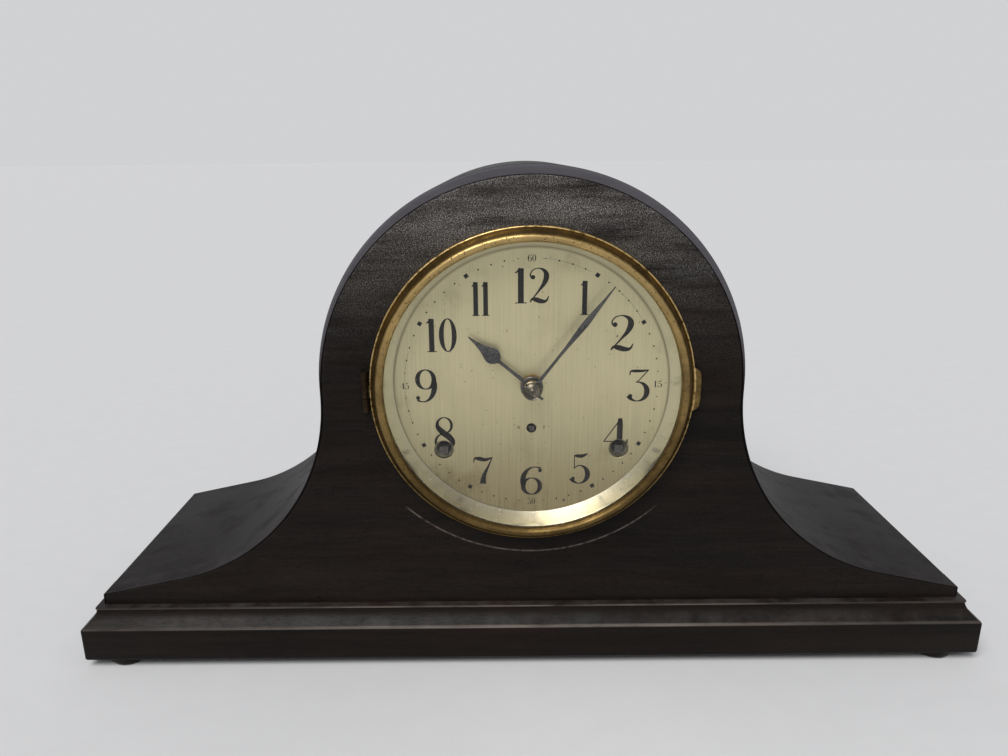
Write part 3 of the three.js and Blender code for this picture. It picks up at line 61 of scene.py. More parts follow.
DUST_GREY: Colour = (0.20, 0.19, 0.18)
LINT_GREY: Colour = (0.45, 0.44, 0.42)
PAINTED_SHEEN_GREY: Colour = (0.064, 0.056, 0.051)
PAINTED_GLINT_GREY: Colour = (0.64, 0.61, 0.575)
SCUFF_GREY: Colour = (0.125, 0.104, 0.090)
BARE_TIMBER: tuple[Colour, Colour] = ((0.10, 0.062, 0.036), (0.27, 0.18, 0.105))


class Axis(Enum):
    """The axis that a turned form stands along."""

    DEPTH = "y"
    UP = "z"


class Effect(Enum):
    """The surface effects that several finishes share: the name, the inputs beside Place, and the outputs."""

    GRAIN = ("wood_grain", {"Figure": 1.0, "Pores": 1.0}, ("Tone", "Pore", "Height"))
    RUB = ("edge_rub", {"Reach": 0.001, "Scale": 70.0}, ("Mask",))
    DUST = ("dust_film", {"Amount": 0.3}, ("Mask",))
    SPECKS = ("scattered_specks", {"Scale": 300.0, "Share": 0.1, "Size": 0.25}, ("Mask",))
    CLOUD = ("tarnish_cloud", {"Scale": 40.0, "Cover": 0.5}, ("Mask",))
    BRUSH = ("brushed_lines", {"Fineness": 2500.0}, ("Lines",))


class GrainRun(Enum):
    """The way that wood grain runs, as the order of the axes: along the grain first."""

    LENGTHWISE = (0, 1, 2)
    UPRIGHT = (2, 1, 0)


class Value:
    """An output on a bench, with which plain sums can be written."""

    def __init__(self, bench: "Bench", socket: Socket) -> None:
        """Takes the bench and the output socket."""
        self.bench, self.socket = bench, socket

    def __add__(self, other: object) -> "Value":
        """Returns the sum with another value."""
        return self.bench.math("ADD", self, other)

    def __sub__(self, other: object) -> "Value":
        """Returns this value less another."""
        return self.bench.math("SUBTRACT", self, other)

    def __rsub__(self, other: float) -> "Value":
        """Returns a plain number less this value."""
        return self.bench.math("SUBTRACT", other, self)

    def __mul__(self, other: object) -> "Value":
        """Returns the product with another value."""
        return self.bench.math("MULTIPLY", self, other)

    def __truediv__(self, other: object) -> "Value":
        """Returns this value divided by another."""
        return self.bench.math("DIVIDE", self, other)

    def __abs__(self) -> "Value":
        """Returns the value without its sign."""
        return self.bench.math("ABSOLUTE", self)


class Bench:
    """A node tree with short calls for adding nodes and joining their sockets."""

    def __init__(self, tree: bpy.types.NodeTree) -> None:
        """Takes the tree that the nodes go into."""
        self.tree = tree

    @classmethod
    def of(cls, owner: bpy.types.Material | bpy.types.World) -> "Bench":
        """Empties the node tree of a material or a world and sets a bench on it.

        Args:
            owner: the material or the world.

        Returns:
            The bench.
        """
        owner.use_nodes = True
        owner.node_tree.nodes.clear()
        return cls(owner.node_tree)

    def node(self, kind: str, inputs: dict | None = None, **settings: object) -> bpy.types.Node:
        """Adds a node.

        Args:
            kind: the node's type name.
            inputs: a value or a socket for each named or numbered input.
            settings: values of the node's own properties.

        Returns:
            The new node.
        """
        made = self.tree.nodes.new(kind)
        for name, value in settings.items():
            setattr(made, name, value)
        for name, value in (inputs or {}).items():
            self.put(made.inputs[name], value)
        return made

    def get(self, kind: str, inputs: dict | None = None, output: int | str = 0, **settings: object) -> Value:
        """Adds a node and returns one of its outputs."""
        return Value(self, self.node(kind, inputs, **settings).outputs[output])

    def put(self, socket: Socket, value: object) -> None:
        """Links an output to an input, or sets the input's plain value; a plain colour becomes opaque.

        Args:
            socket: the input.
            value: an output, or a plain value.
        """
        value = value.socket if isinstance(value, Value) else value
        if isinstance(value, bpy.types.NodeSocket):
            self.tree.links.new(value, socket)
        else:
            socket.default_value = (*value[:3], 1.0) if socket.type == "RGBA" else value

    def math(self, operation: str, *values: object) -> Value:
        """Adds a sum and returns its result."""
        return self.get("ShaderNodeMath", dict(enumerate(values)), operation=operation)

    def vector(self, operation: str, *values: object, output: int | str = 0) -> Value:
        """Adds a vector sum and returns its result."""
        return self.get("ShaderNodeVectorMath", dict(enumerate(values)), output, operation=operation)

    def axes(self, vector: object) -> list[Value]:
        """Returns the three parts of a vector."""
        return [Value(self, part) for part in self.node("ShaderNodeSeparateXYZ", {0: vector}).outputs]

    def join(self, *parts: object) -> Value:
        """Returns a vector of three parts."""
        return self.get("ShaderNodeCombineXYZ", dict(enumerate(parts)))

    def span(self, value: object, low: float, high: float) -> Value:
        """Returns a value's smooth rise from 0 at low to 1 at high."""
        return self.get("ShaderNodeMapRange", {0: value, 1: low, 2: high}, interpolation_type="SMOOTHSTEP")

    def noise(self, vector: object, scale: object, detail: float = 3.0, roughness: float = 0.5) -> Value:
        """Returns a noise value over a vector."""
        inputs = {"Vector": vector, "Scale": scale, "Detail": detail, "Roughness": roughness}
        return self.get("ShaderNodeTexNoise", inputs)

    def streaks(self, vector: object, scale: Sequence[float], detail: float = 3.0,
                roughness: float = 0.5) -> Value:
        """Returns a noise value over a vector that is scaled on each axis."""
        return self.noise(self.vector("MULTIPLY", vector, scale), 1.0, detail, roughness)

    def blend(self, share: object, first: object, second: object) -> Value:
        """Returns a mix of two colours by a share."""
        return self.get("ShaderNodeMix", {0: share, 6: first, 7: second}, 2, data_type="RGBA")

    def bump(self, height: Value, strength: float, distance: float) -> Value:
        """Returns a normal that follows a height."""
        return self.get("ShaderNodeBump", {"Strength": strength, "Distance": distance, "Height": height})

    def effect(self, effect: Effect, place: Value, **inputs: object) -> list[Value]:
        """Places a shared effect in this tree.

        Args:
            effect: the effect.
            place: the coordinates that it lies on.
            inputs: values of its other inputs.

        Returns:
            The effect's outputs, in order.
        """
        made = self.node("ShaderNodeGroup", node_tree=EFFECTS.tree(effect))
        for name, value in {"place": place, **inputs}.items():
            self.put(made.inputs[name.title()], value)
        return [Value(self, output) for output in made.outputs]

    def place(self) -> Value:
        """Returns the piece's own coordinates, in metres."""
        return self.get("ShaderNodeTexCoord", output="Object")

    def normal(self) -> Value:
        """Returns the way that the surface faces."""
        return self.get("ShaderNodeNewGeometry", output="Normal")

    def from_dial(self) -> Value:
        """Returns the way from the dial centre to a point, in metres."""
        return self.vector("ADD", self.place(), (0.0, 0.0, -MM * DIAL_Z))

    def dial_reach(self) -> Value:
        """Returns the distance from the line through the dial centre, in metres."""
        return self.vector("LENGTH", self.vector("MULTIPLY", self.from_dial(), (1, 0, 1)), output="Value")

    def around_dial(self) -> Value:
        """Returns coordinates that run round the dial first, then outwards and in depth."""
        x, y, z = self.axes(self.from_dial())
        return self.join(self.math("ARCTAN2", z, x) * BEZEL_REACH, self.dial_reach(), y)

    def surface(self, inputs: dict) -> bpy.types.Node:
        """Adds the surface shader with these inputs and returns it."""
        return self.node("ShaderNodeBsdfPrincipled", inputs)

    def show(self, shader: bpy.types.Node) -> None:
        """Sends a shader to the material's output."""
        self.node("ShaderNodeOutputMaterial", {"Surface": shader.outputs[0]})


class EffectShelf:
    """Builds each shared effect once and hands it out; each method here returns the outputs of one effect."""

    def __init__(self) -> None:
        """Starts with nothing built."""
        self.trees: dict[Effect, bpy.types.NodeTree] = {}

    def tree(self, effect: Effect) -> bpy.types.NodeTree:
        """Builds the node group of an effect on first use.

        Args:
            effect: the effect.

        Returns:
            Its node group.
        """
        if effect not in self.trees:
            name, takes, gives = effect.value
            tree = self.trees[effect] = bpy.data.node_groups.new(name, "ShaderNodeTree")
            tree.interface.new_socket("Place", in_out="INPUT", socket_type="NodeSocketVector")
            for title, value in takes.items():
                socket = tree.interface.new_socket(title, in_out="INPUT", socket_type="NodeSocketFloat")
                socket.default_value = value
            for title in gives:
                tree.interface.new_socket(title, in_out="OUTPUT", socket_type="NodeSocketFloat")
            bench = Bench(tree)
            first, last = bench.node("NodeGroupInput"), bench.node("NodeGroupOutput")
            taken = [Value(bench, first.outputs[title]) for title in ("Place", *takes)]
            for title, value in zip(gives, getattr(self, effect.name.lower())(bench, *taken)):
                bench.put(last.inputs[title], value)
        return self.trees[effect]

    def grain(self, bench: Bench, place: Value, figure: Value, pores: Value) -> tuple[Value, ...]:
        """Broad streaks and short pore lines along the first axis of the place.

        Args:
            bench: where the nodes go.
            place: the coordinates.
            figure: the strength of the streaks.
            pores: the strength of the pores.

        Returns:
            The tone, the pores and the height.
        """
        bend = bench.streaks(place, (3, 9, 9), 2.0)
        lean = bench.vector("MULTIPLY", bench.join(0.0, bend, bend), (0, 0.012, 0.012))
        swayed = bench.vector("ADD", place, lean)
        streak = bench.streaks(swayed, (7, 110, 110), 5.0, 0.6)
        fibre = bench.streaks(swayed, (40, 900, 900), 2.0)
        pore = bench.span(bench.streaks(swayed, (230, 2100, 2100), 1.0), 0.58, 0.68) * pores
        return (streak - 0.5) * figure + 0.5 + (fibre - 0.5) * 0.55, pore, fibre * 0.4 - pore

    def rub(self, bench: Bench, place: Value, reach: Value, scale: Value) -> tuple[Value, ...]:
        """Patchy rubbing along edges: white where the surface turns sharply.

        Args:
            bench: where the nodes go.
            place: the coordinates.
            reach: how far it spreads from an edge.
            scale: the fineness of its patches.

        Returns:
            The mask.
        """
        rounded = bench.get("ShaderNodeBevel", {"Radius": reach}, samples=4)
        facing = bench.vector("DOT_PRODUCT", rounded, bench.normal(), output="Value")
        patch = bench.span(bench.noise(place, scale, 4.0, 0.65), 0.42, 0.66)
        return (bench.span(1.0 - facing, 0.015, 0.16) * patch,)

    def dust(self, bench: Bench, place: Value, amount: Value) -> tuple[Value, ...]:
        """A thin uneven film on what faces up."""
        flat = bench.span(bench.axes(bench.normal())[2], 0.35, 0.95)
        return (flat * bench.span(bench.noise(place, 55.0, 6.0, 0.7), 0.3, 0.8) * amount,)

    def specks(self, bench: Bench, place: Value, scale: Value, share: Value,
               size: Value) -> tuple[Value, ...]:
        """Scattered small spots: a share of the cells holds one each.

        Args:
            bench: where the nodes go.
            place: the coordinates.
            scale: the number of cells in a metre.
            share: the share of cells with a spot.
            size: the size of a spot in its cell.

        Returns:
            The mask.
        """
        warp = bench.noise(place, scale * 3.0, 2.0)
        cells = bench.node("ShaderNodeTexVoronoi", {"Vector": place, "Scale": scale})
        pick = bench.get("ShaderNodeSeparateColor", {0: cells.outputs["Color"]})
        far = (warp - 0.5) * 0.35 + cells.outputs["Distance"]
        return (bench.math("LESS_THAN", pick, share) * (1.0 - bench.span(far / size, 0.6, 1.1)),)

    def cloud(self, bench: Bench, place: Value, scale: Value, cover: Value) -> tuple[Value, ...]:
        """Soft patches of tarnish or stain, more of them as the cover rises."""
        return (bench.span(bench.noise(place, scale, 7.0, 0.62) + (cover - 0.5), 0.38, 0.66),)

    def brush(self, bench: Bench, place: Value, fineness: Value) -> tuple[Value, ...]:
        """Fine lines along the first axis of the place."""
        drawn = bench.vector("MULTIPLY", place, bench.join(18.0, fineness, fineness))
        return (bench.noise(drawn, 1.0, 3.0, 0.6),)


EFFECTS = EffectShelf()


def shade(colour: Colour, share: float) -> Colour:
    """Returns a colour made darker or lighter by a share."""
    return tuple(share * part for part in colour)


@dataclass(frozen=True)
class Finish:
    """A surface finish of the clock, made into a material on first use."""

    name: str

    def material(self) -> bpy.types.Material:
        """Makes the finish's material on first use.

        Returns:
            The material.
        """
        made = bpy.data.materials.get(self.name)
        if made is None:
            made = bpy.data.materials.new(self.name)
            self.mix(Bench.of(made))
        return made

    def mix(self, bench: Bench) -> None:
        """Builds the finish's nodes on a bench."""
        raise NotImplementedError


@dataclass(frozen=True)
class StainedWood(Finish):
    """Dark polished wood with stain, pores, rubbed edges and dust, and painted glints and sheen where the
    light falls; lengths in metres.
    """

    dark: Colour
    light: Colour
    rubbed: Colour = (0.10, 0.055, 0.035)
    run: GrainRun = GrainRun.LENGTHWISE
    figure: float = 1.0
    pores: float = 1.0
    # strength of the painted glints and painted sheen near the top of the arch
    glints: float = 0.0
    roughness: float = 0.42
    coat: float = 0.1
    rub_reach: float = 0.0022
    rub: float = 0.6
    dust: float = 0.12
    sheen: float = 0.2
    # heights of pale edge lines: partly wear, partly painted highlight
    worn_lines: tuple[float, ...] = ()
    scuff_radius: float = 0.0
    # a pale colour for forward faces near the top: partly a faded finish, partly painted sheen
    faded_front: Colour | None = None
    bare: tuple[float, float] = (0.0, 0.0)

    def mix(self, bench: Bench) -> None:
        """Builds the stain, pores, rubbed edges and dust, and the marks that its fields ask for.

        Args:
            bench: where the nodes go.
        """
        place = bench.place()
        axes = bench.axes(place)
        along = bench.join(*[axes[k] for k in self.run.value])
        tone, pore, height = bench.effect(Effect.GRAIN, along, figure=self.figure, pores=self.pores)
        colour = bench.blend(bench.span(tone, 0.25, 0.8), self.dark, self.light)
        stain, = bench.effect(Effect.CLOUD, place, scale=14.0, cover=0.45)
        colour = bench.blend(stain * 0.4, colour, self.dark)
        colour = bench.blend(pore * 0.75, colour, shade(self.dark, 0.35))
        rub, = bench.effect(Effect.RUB, place, reach=self.rub_reach)
        colour = bench.blend(rub * self.rub, colour, self.rubbed)
        # painted sheen and painted glints near the top of the arch
        if self.glints:
            colour = self.crown(bench, along, axes, colour)
        for level in self.worn_lines:
            colour = bench.blend(self.worn_line(bench, place, axes, level), colour, shade(self.rubbed, 1.7))
        if self.scuff_radius:
            colour = bench.blend(self.scuff(bench, place), colour, SCUFF_GREY)
        # painted sheen on faces that look forward near the top, partly a faded finish
        if self.faded_front:
            ahead = bench.span(0.0 - bench.axes(bench.normal())[1], 0.1, 0.75)
            share = ahead * bench.span(axes[2], 0.16, 0.195) * (tone * 0.5 + 0.6)
            colour = bench.blend(share, colour, self.faded_front)
        if any(self.bare):
            colour = bench.blend(self.unstained(bench, axes), colour, bench.blend(tone, *BARE_TIMBER))
        dust, = bench.effect(Effect.DUST, place, amount=self.dust)
        colour = bench.blend(dust, colour, DUST_GREY)
        lint, = bench.effect(Effect.SPECKS, place, scale=26.0, share=0.012, size=0.035)
        colour = bench.blend(lint, colour, LINT_GREY)
        worn, = bench.effect(Effect.CLOUD, place, scale=45.0, cover=0.42)
        bench.show(bench.surface({
            "Base Color": colour, "Roughness": worn * 0.14 + self.roughness + dust * 0.35,
            "Specular IOR Level": self.sheen, "Coat Weight": self.coat, "Coat Roughness": 0.2,
            "Normal": bench.bump(height, 0.32, 0.00025),
        }))

    def crown(self, bench: Bench, along: Value, axes: list[Value], colour: Value) -> Value:
        """Adds painted sheen and fine painted glints, strongest at the top of the arch and towards the
        middle, where the light falls.

        Args:
            bench: where the nodes go.
            along: the coordinates along the grain.
            axes: the three coordinates.
            colour: the colour so far.

        Returns:
            The new colour.
        """
        # painted glints: fine pale specks for light caught in the pores
        glint_speckle = bench.span(bench.streaks(along, (1600, 2700, 2700), 2.0, 0.75), 0.46, 0.74)
        drift = bench.span(bench.streaks(along, (14, 110, 110), 4.0, 0.6), 0.22, 0.66)
        # painted sheen and glints: strongest at the top of the arch and towards the middle, where the light
        # falls
        high = bench.span(axes[2], 0.14, 0.268)
        middle = bench.span(abs(axes[0]), 0.02, 0.115) * -0.45 + 1.0
        share = (high * high * middle * 0.97 + 0.03) * drift
        colour = bench.blend(share * 0.55, colour, PAINTED_SHEEN_GREY)
        return bench.blend(glint_speckle * share * self.glints, colour, PAINTED_GLINT_GREY)

    def unstained(self, bench: Bench, axes: list[Value]) -> Value:
        """Finds the faces that look into the case or to its back, which are left bare of stain.

        Args:
            bench: where the nodes go.
            axes: the three coordinates.

        Returns:
            The mask.
        """
        east, north, up = bench.axes(bench.normal())
        outward = axes[0] * east + (axes[2] - 0.02) * up
        inner = 1.0 - bench.span(outward, -0.012, -0.004)
        return inner * self.bare[0] + bench.span(north, 0.6, 0.8) * self.bare[1]

    def worn_line(self, bench: Bench, place: Value, axes: list[Value], level: float) -> Value:
        """Draws a broken pale line along an edge at one height: partly wear, partly painted highlight, which
        is strongest in the middle.

        Args:
            bench: where the nodes go.
            place: the coordinates.
            axes: their three parts.
            level: the height of the edge.

        Returns:
            The mask.
        """
        line = 1.0 - bench.span(abs(axes[2] - level), 0.0001, 0.0008)
        broken = bench.span(bench.streaks(place, (22, 200, 200), 5.0, 0.7), 0.2, 0.6)
        # painted highlight: the line is brighter towards the middle
        aside = bench.span(abs(axes[0]), 0.05, 0.21)
        return line * (aside * -0.6 + 0.9) * broken

    def scuff(self, bench: Bench, place: Value) -> Value:
        """Draws a thin broken scuff around the foot of the bezel.

        Args:
            bench: where the nodes go.
            place: the coordinates.

        Returns:
            The mask.
        """
        x, _, z = bench.axes(bench.from_dial())
        height = z - 0.006
        reach = bench.math("SQRT", x * x + height * height)
        line = 1.0 - bench.span(abs(reach - self.scuff_radius), 0.0001, 0.0007)
        low = 1.0 - bench.span(height, -0.0775, -0.0735)
        return line * low * bench.span(bench.noise(place, 260.0, 4.0), 0.3, 0.62)


@dataclass(frozen=True)
class AgedMetal(Finish):
    """Metal with tarnish patches, spots, rubbed edges and faint tool marks; lengths in metres."""

    clean: Colour
    tarnish: Colour
    roughness: float = 0.3
    cover: float = 0.5
    patch: float = 40.0
    spots: float = 0.1
    spot: Colour = (0.04, 0.03, 0.02)
    rub: float = 0.5
    marks: float = 0.12
    grit: float = 0.4
    turned: bool = False
    hollow: Point2 | None = None
    # radii of the roll's top, the bead and its end, and the colour of the rubbed bright edge and the painted
    # highlights
    crest: Point2 = (0.0822, 0.0834)
    bead: Point2 = (0.0861, 0.0864)
    bead_end: Point2 = (0.0873, 0.0875)
    bright: Colour = (0.76, 0.54, 0.23)

    def mix(self, bench: Bench) -> None:
        """Builds the tarnish, the spots, the bright edges and the tool marks.

        Args:
            bench: where the nodes go.
        """
        place = bench.place()
        broad, = bench.effect(Effect.CLOUD, place, scale=self.patch, cover=self.cover)
        fine, = bench.effect(Effect.CLOUD, place, scale=9 * self.patch, cover=self.cover)
        cloud = fine * self.grit + broad * (1 - self.grit)
        colour = bench.blend(cloud, self.clean, self.tarnish)
        # the bezel's grime, painted shade and painted highlights
        if self.hollow:
            colour = self.soiled(bench, place, colour)
        spots, = bench.effect(Effect.SPECKS, place, scale=900.0, share=self.spots, size=0.4)
        colour = bench.blend(spots * 0.8, colour, self.spot)
        rub, = bench.effect(Effect.RUB, place, reach=0.0009, scale=120.0)
        colour = bench.blend(rub * self.rub, colour, self.clean)
        lines, = bench.effect(Effect.BRUSH, bench.around_dial() if self.turned else place)
        bench.show(bench.surface({
            "Base Color": colour, "Metallic": 1.0,
            "Roughness": cloud * 0.22 + self.roughness + lines * self.marks + spots * 0.25,
            "Normal": bench.bump(lines * 0.4 - spots, 0.14, 0.00008),
        }))

    def soiled(self, bench: Bench, place: Value, colour: Value) -> Value:
        """Adds grime in the hollow with painted shade that grows towards the bottom, painted shade over the
        lower part, a painted highlight on the top of the roll, and a bead partly rubbed bright and partly
        painted highlight, strongest at the top.

        Args:
            bench: where the nodes go.
            place: the coordinates.
            colour: the colour so far.

        Returns:
            The new colour.
        """
        reach = bench.dial_reach()
        high = bench.span(bench.axes(bench.from_dial())[2], -0.075, 0.08)
        bead = bench.span(reach, *self.bead)
        # grime in the hollow, with painted shade that grows towards the bottom
        deep = bench.span(reach, *self.hollow) * (1.0 - bead) * (high * -0.4 + 0.65)
        colour = bench.blend(deep, colour, shade(self.tarnish, 0.6))
        # painted shade: the lower part of the bezel darker
        colour = bench.blend(high * -0.72 + 0.72, colour, self.tarnish)
        # painted highlight on the top of the roll, strongest at the top of the bezel
        crest = (1.0 - bench.span(reach, *self.crest)) * high * high * 0.5
        # the bead: rubbed bright, and painted highlight points that grow towards the top
        glint_dots = bench.span(bench.noise(place, 420.0, 2.0), 0.3, 0.55)
        bead = bead * (1.0 - bench.span(reach, *self.bead_end)) * glint_dots
        return bench.blend(bench.math("MAXIMUM", crest, bead * bench.math("SQRT", high)), colour, self.bright)


@dataclass(frozen=True)
class SilveredDial(Finish):
    """Silvered dial plate gone champagne, brushed upright, with stains and specks."""

    clean: Colour = (0.64, 0.57, 0.35)
    # the colour of stains, of the darkening towards the bottom and of the painted shade at the rim
    stained: Colour = (0.25, 0.20, 0.10)
    speck: Colour = (0.10, 0.08, 0.05)
    spot: Colour = (0.07, 0.055, 0.035)

    def mix(self, bench: Bench) -> None:
        """Builds the brushing, a darkening towards the bottom of the dial, stains, a painted shade line round
        the rim, specks and dull sheen.

        Args:
            bench: where the nodes go.
        """
        place = bench.place()
        x, y, z = bench.axes(place)
        lines, = bench.effect(Effect.BRUSH, bench.join(z, x, y), fineness=1500.0)
        # darker towards the bottom of the dial
        low = 1.0 - bench.span(z, MM * (DIAL_Z - 80), MM * (DIAL_Z + 45))
        reach = bench.dial_reach()
        cloud, = bench.effect(Effect.CLOUD, place, scale=34.0, cover=0.4)
        darkening = cloud * (bench.span(reach, 0.045, 0.076) * 0.35 + 0.15) + low * low * 0.9 + (lines - 0.45) * 0.6
        # painted shade: a dark ring round the rim of the dial, where the sight ring meets it
        darkening = bench.math("MAXIMUM", darkening, bench.span(reach, 0.0738, 0.0757) * 0.85)
        colour = bench.blend(darkening, self.clean, self.stained)
        fine, = bench.effect(Effect.SPECKS, place, scale=520.0, share=0.05, size=0.24)
        colour = bench.blend(fine * 0.55, colour, self.speck)
        large, = bench.effect(Effect.SPECKS, place, scale=110.0, share=0.09, size=0.1)
        colour = bench.blend(large * 0.75, colour, self.spot)
        bench.show(bench.surface({
            "Base Color": colour, "Metallic": 0.88, "Roughness": lines * 0.12 + 0.36,
            "Normal": bench.bump(lines, 0.12, 0.00005),
        }))


@dataclass(frozen=True)
class DialInk(Finish):
    """Brown-black dial print, thin where it has worn."""

    ink: Colour = (0.0065, 0.005, 0.004)
    worn: Colour = (0.07, 0.058, 0.038)

    def mix(self, bench: Bench) -> None:
        """Builds the print and its worn patches.

        Args:
            bench: where the nodes go.
        """
        place = bench.place()
        cloud, = bench.effect(Effect.CLOUD, place, scale=130.0, cover=0.36)
        spots, = bench.effect(Effect.SPECKS, place, scale=700.0, share=0.16, size=0.4)
        colour = bench.blend(spots * 0.2 + cloud * 0.2, self.ink, self.worn)
        rough = cloud * 0.2 + 0.42
        bench.show(bench.surface({"Base Color": colour, "Roughness": rough, "Specular IOR Level": 0.15}))


@dataclass(frozen=True)
class ClearGlass(Finish):
    """Old clear glass with a faint film, which lets light through to the dial."""

    clear: Colour = (0.995, 1.0, 0.995)
    film: Colour = (0.965, 0.975, 0.96)
    lamp_light: Colour = (0.97, 0.97, 0.97)

    def mix(self, bench: Bench) -> None:
        """Builds the glass and its clear way for lamp light.

        Args:
            bench: where the nodes go.
        """
        place = bench.place()
        film, = bench.effect(Effect.CLOUD, place, scale=25.0, cover=0.4)
        glass = bench.surface({
            "Base Color": bench.blend(film, self.clear, self.film), "Roughness": 0.0, "IOR": 1.3,
            "Transmission Weight": 1.0, "Normal": bench.bump(bench.noise(place, 16.0, 1.0), 0.03, 0.0004),
        })
        clear = bench.node("ShaderNodeBsdfTransparent", {"Color": self.lamp_light})
        lamp = bench.get("ShaderNodeLightPath", output="Is Shadow Ray")
        bench.show(bench.node("ShaderNodeMixShader", {0: lamp, 1: glass.outputs[0], 2: clear.outputs[0]}))


@dataclass(frozen=True)
class FloorPaint(Finish):
    """Pale, slightly uneven matt paint of the studio floor."""

    dark: Colour = (0.68, 0.68, 0.685)
    light: Colour = (0.72, 0.72, 0.725)

    def mix(self, bench: Bench) -> None:
        """Builds the uneven tone."""
        colour = bench.blend(bench.noise(bench.place(), 60.0, 4.0), self.dark, self.light)
        bench.show(bench.surface({"Base Color": colour, "Roughness": 0.85, "Specular IOR Level": 0.2}))


# the panel carries painted sheen and painted glints near the top of the arch
PANEL_WOOD = StainedWood("panel_mahogany", (0.0048, 0.0037, 0.0030), (0.0140, 0.0086, 0.0062), glints=0.9,
                         rubbed=(0.06, 0.047, 0.039), rub=0.35, scuff_radius=0.1025, sheen=0.08, coat=0.02,
                         bare=(0.0, 1.0))
EDGE_WOOD = StainedWood("edge_veneer", (0.0125, 0.0108, 0.0118), (0.021, 0.0180, 0.0195), pores=0.7,
                        figure=0.7, roughness=0.38, coat=0.0, dust=0.03, rub=0.3, sheen=0.025,
                        rubbed=(0.052, 0.044, 0.043))
SKIN_WOOD = replace(EDGE_WOOD, name="bent_veneer", bare=(1.0, 0.0))
# the hood's pale front: painted sheen, partly a faded finish
HOOD_WOOD = replace(EDGE_WOOD, name="faded_sheen_hood", pores=0.5, figure=0.6, rubbed=(0.10, 0.055, 0.035),
                    faded_front=(0.115, 0.110, 0.121))
# the plinth's heavy dust is partly real dust and partly a painted sheen on its up-facing hollow
BASE_WOOD = StainedWood("plinth_mahogany", (0.0046, 0.0033, 0.0025), (0.0138, 0.0080, 0.0054), coat=0.03,
                        rubbed=(0.105, 0.086, 0.074), rub=0.45, rub_reach=0.0012, sheen=0.11, dust=0.21,
                        worn_lines=(0.0247, 0.0342))
FOOT_WOOD = StainedWood("turned_feet", (0.006, 0.005, 0.004), (0.014, 0.010, 0.008), rub=0.4, figure=0.5,
                        sheen=0.1)
BACK_WOOD = StainedWood("back_board", (0.016, 0.010, 0.007), (0.05, 0.028, 0.017), roughness=0.5, coat=0.0,
                        rubbed=(0.14, 0.085, 0.05))
DOOR_WOOD = StainedWood("door_board", (0.06, 0.034, 0.019), (0.16, 0.092, 0.05), run=GrainRun.UPRIGHT,
                        roughness=0.5, coat=0.05, rubbed=(0.26, 0.17, 0.10))
BEZEL_BRASS = AgedMetal("bezel_brass", (0.40, 0.268, 0.095), (0.085, 0.053, 0.019), roughness=0.2, cover=0.55,
                        patch=42.0, spots=0.16, grit=0.25, turned=True, hollow=(0.0833, 0.0847))
HINGE_BRASS = AgedMetal("dark_hinge_brass", (0.085, 0.057, 0.030), (0.024, 0.017, 0.011), roughness=0.36,
                        cover=0.6)
PLAIN_BRASS = AgedMetal("movement_brass", (0.56, 0.41, 0.18), (0.34, 0.23, 0.09), roughness=0.3, cover=0.4,
                        spots=0.06)
BUSH_BRASS = AgedMetal("olive_bush_brass", (0.30, 0.272, 0.17), (0.13, 0.115, 0.07), roughness=0.32,
                       cover=0.5, patch=150.0)
NUT_BRONZE = AgedMetal("collet_bronze", (0.21, 0.178, 0.13), (0.04, 0.034, 0.027), roughness=0.12, cover=0.52,
                       patch=220.0)
BRIGHT_PLATE = AgedMetal("sight_plate", (0.97, 0.98, 0.985), (0.86, 0.86, 0.85), roughness=0.22, cover=0.3,
                         spots=0.03, spot=(0.4, 0.36, 0.28), marks=0.02, turned=True)
STEEL = AgedMetal("plain_steel", (0.30, 0.29, 0.275), (0.11, 0.10, 0.085), roughness=0.26, spots=0.08)
HAND_STEEL = AgedMetal("dark_hand_steel", (0.11, 0.106, 0.105), (0.03, 0.027, 0.027), roughness=0.12,
                       cover=0.46, patch=110.0, spots=0.03)
ARBOR_STEEL = AgedMetal("dark_arbor_steel", (0.13, 0.12, 0.105), (0.045, 0.04, 0.034), roughness=0.2,
                        patch=160.0)
SPRING_STEEL = AgedMetal("blued_spring", (0.045, 0.05, 0.07), (0.03, 0.028, 0.03), roughness=0.28, spots=0.05)
IRON = AgedMetal("black_iron", (0.05, 0.05, 0.05), (0.02, 0.019, 0.018), roughness=0.5, cover=0.6, spots=0.2)
DIAL_SILVER = SilveredDial("champagne_dial")
INK = DialInk("dial_ink")
GLASS = ClearGlass("convex_glass")
FLOOR_PAINT = FloorPaint("floor_paint")

SLOT_FINISH: dict[str, Finish] = {
    "dark_wood": BACK_WOOD, "plain_wood": DOOR_WOOD, "aged_brass": BEZEL_BRASS, "brass": PLAIN_BRASS,
    "silvered_dial": DIAL_SILVER, "bright_plate": BRIGHT_PLATE, "blued_steel": SPRING_STEEL, "steel": STEEL,
    "cast_iron": IRON, "glass": GLASS,
}
NODE_FINISH: dict[str, Finish] = {
    **dict.fromkeys(("time_winding_arbor", "strike_winding_arbor", "regulator_arbor"), ARBOR_STEEL),
    **dict.fromkeys((f"foot_{end}_{side}" for end in ("front", "back") for side in ("left", "right")),
                    FOOT_WOOD),
    **dict.fromkeys(("bezel_hinge_fixed", "bezel_hinge_moving"), HINGE_BRASS),
}


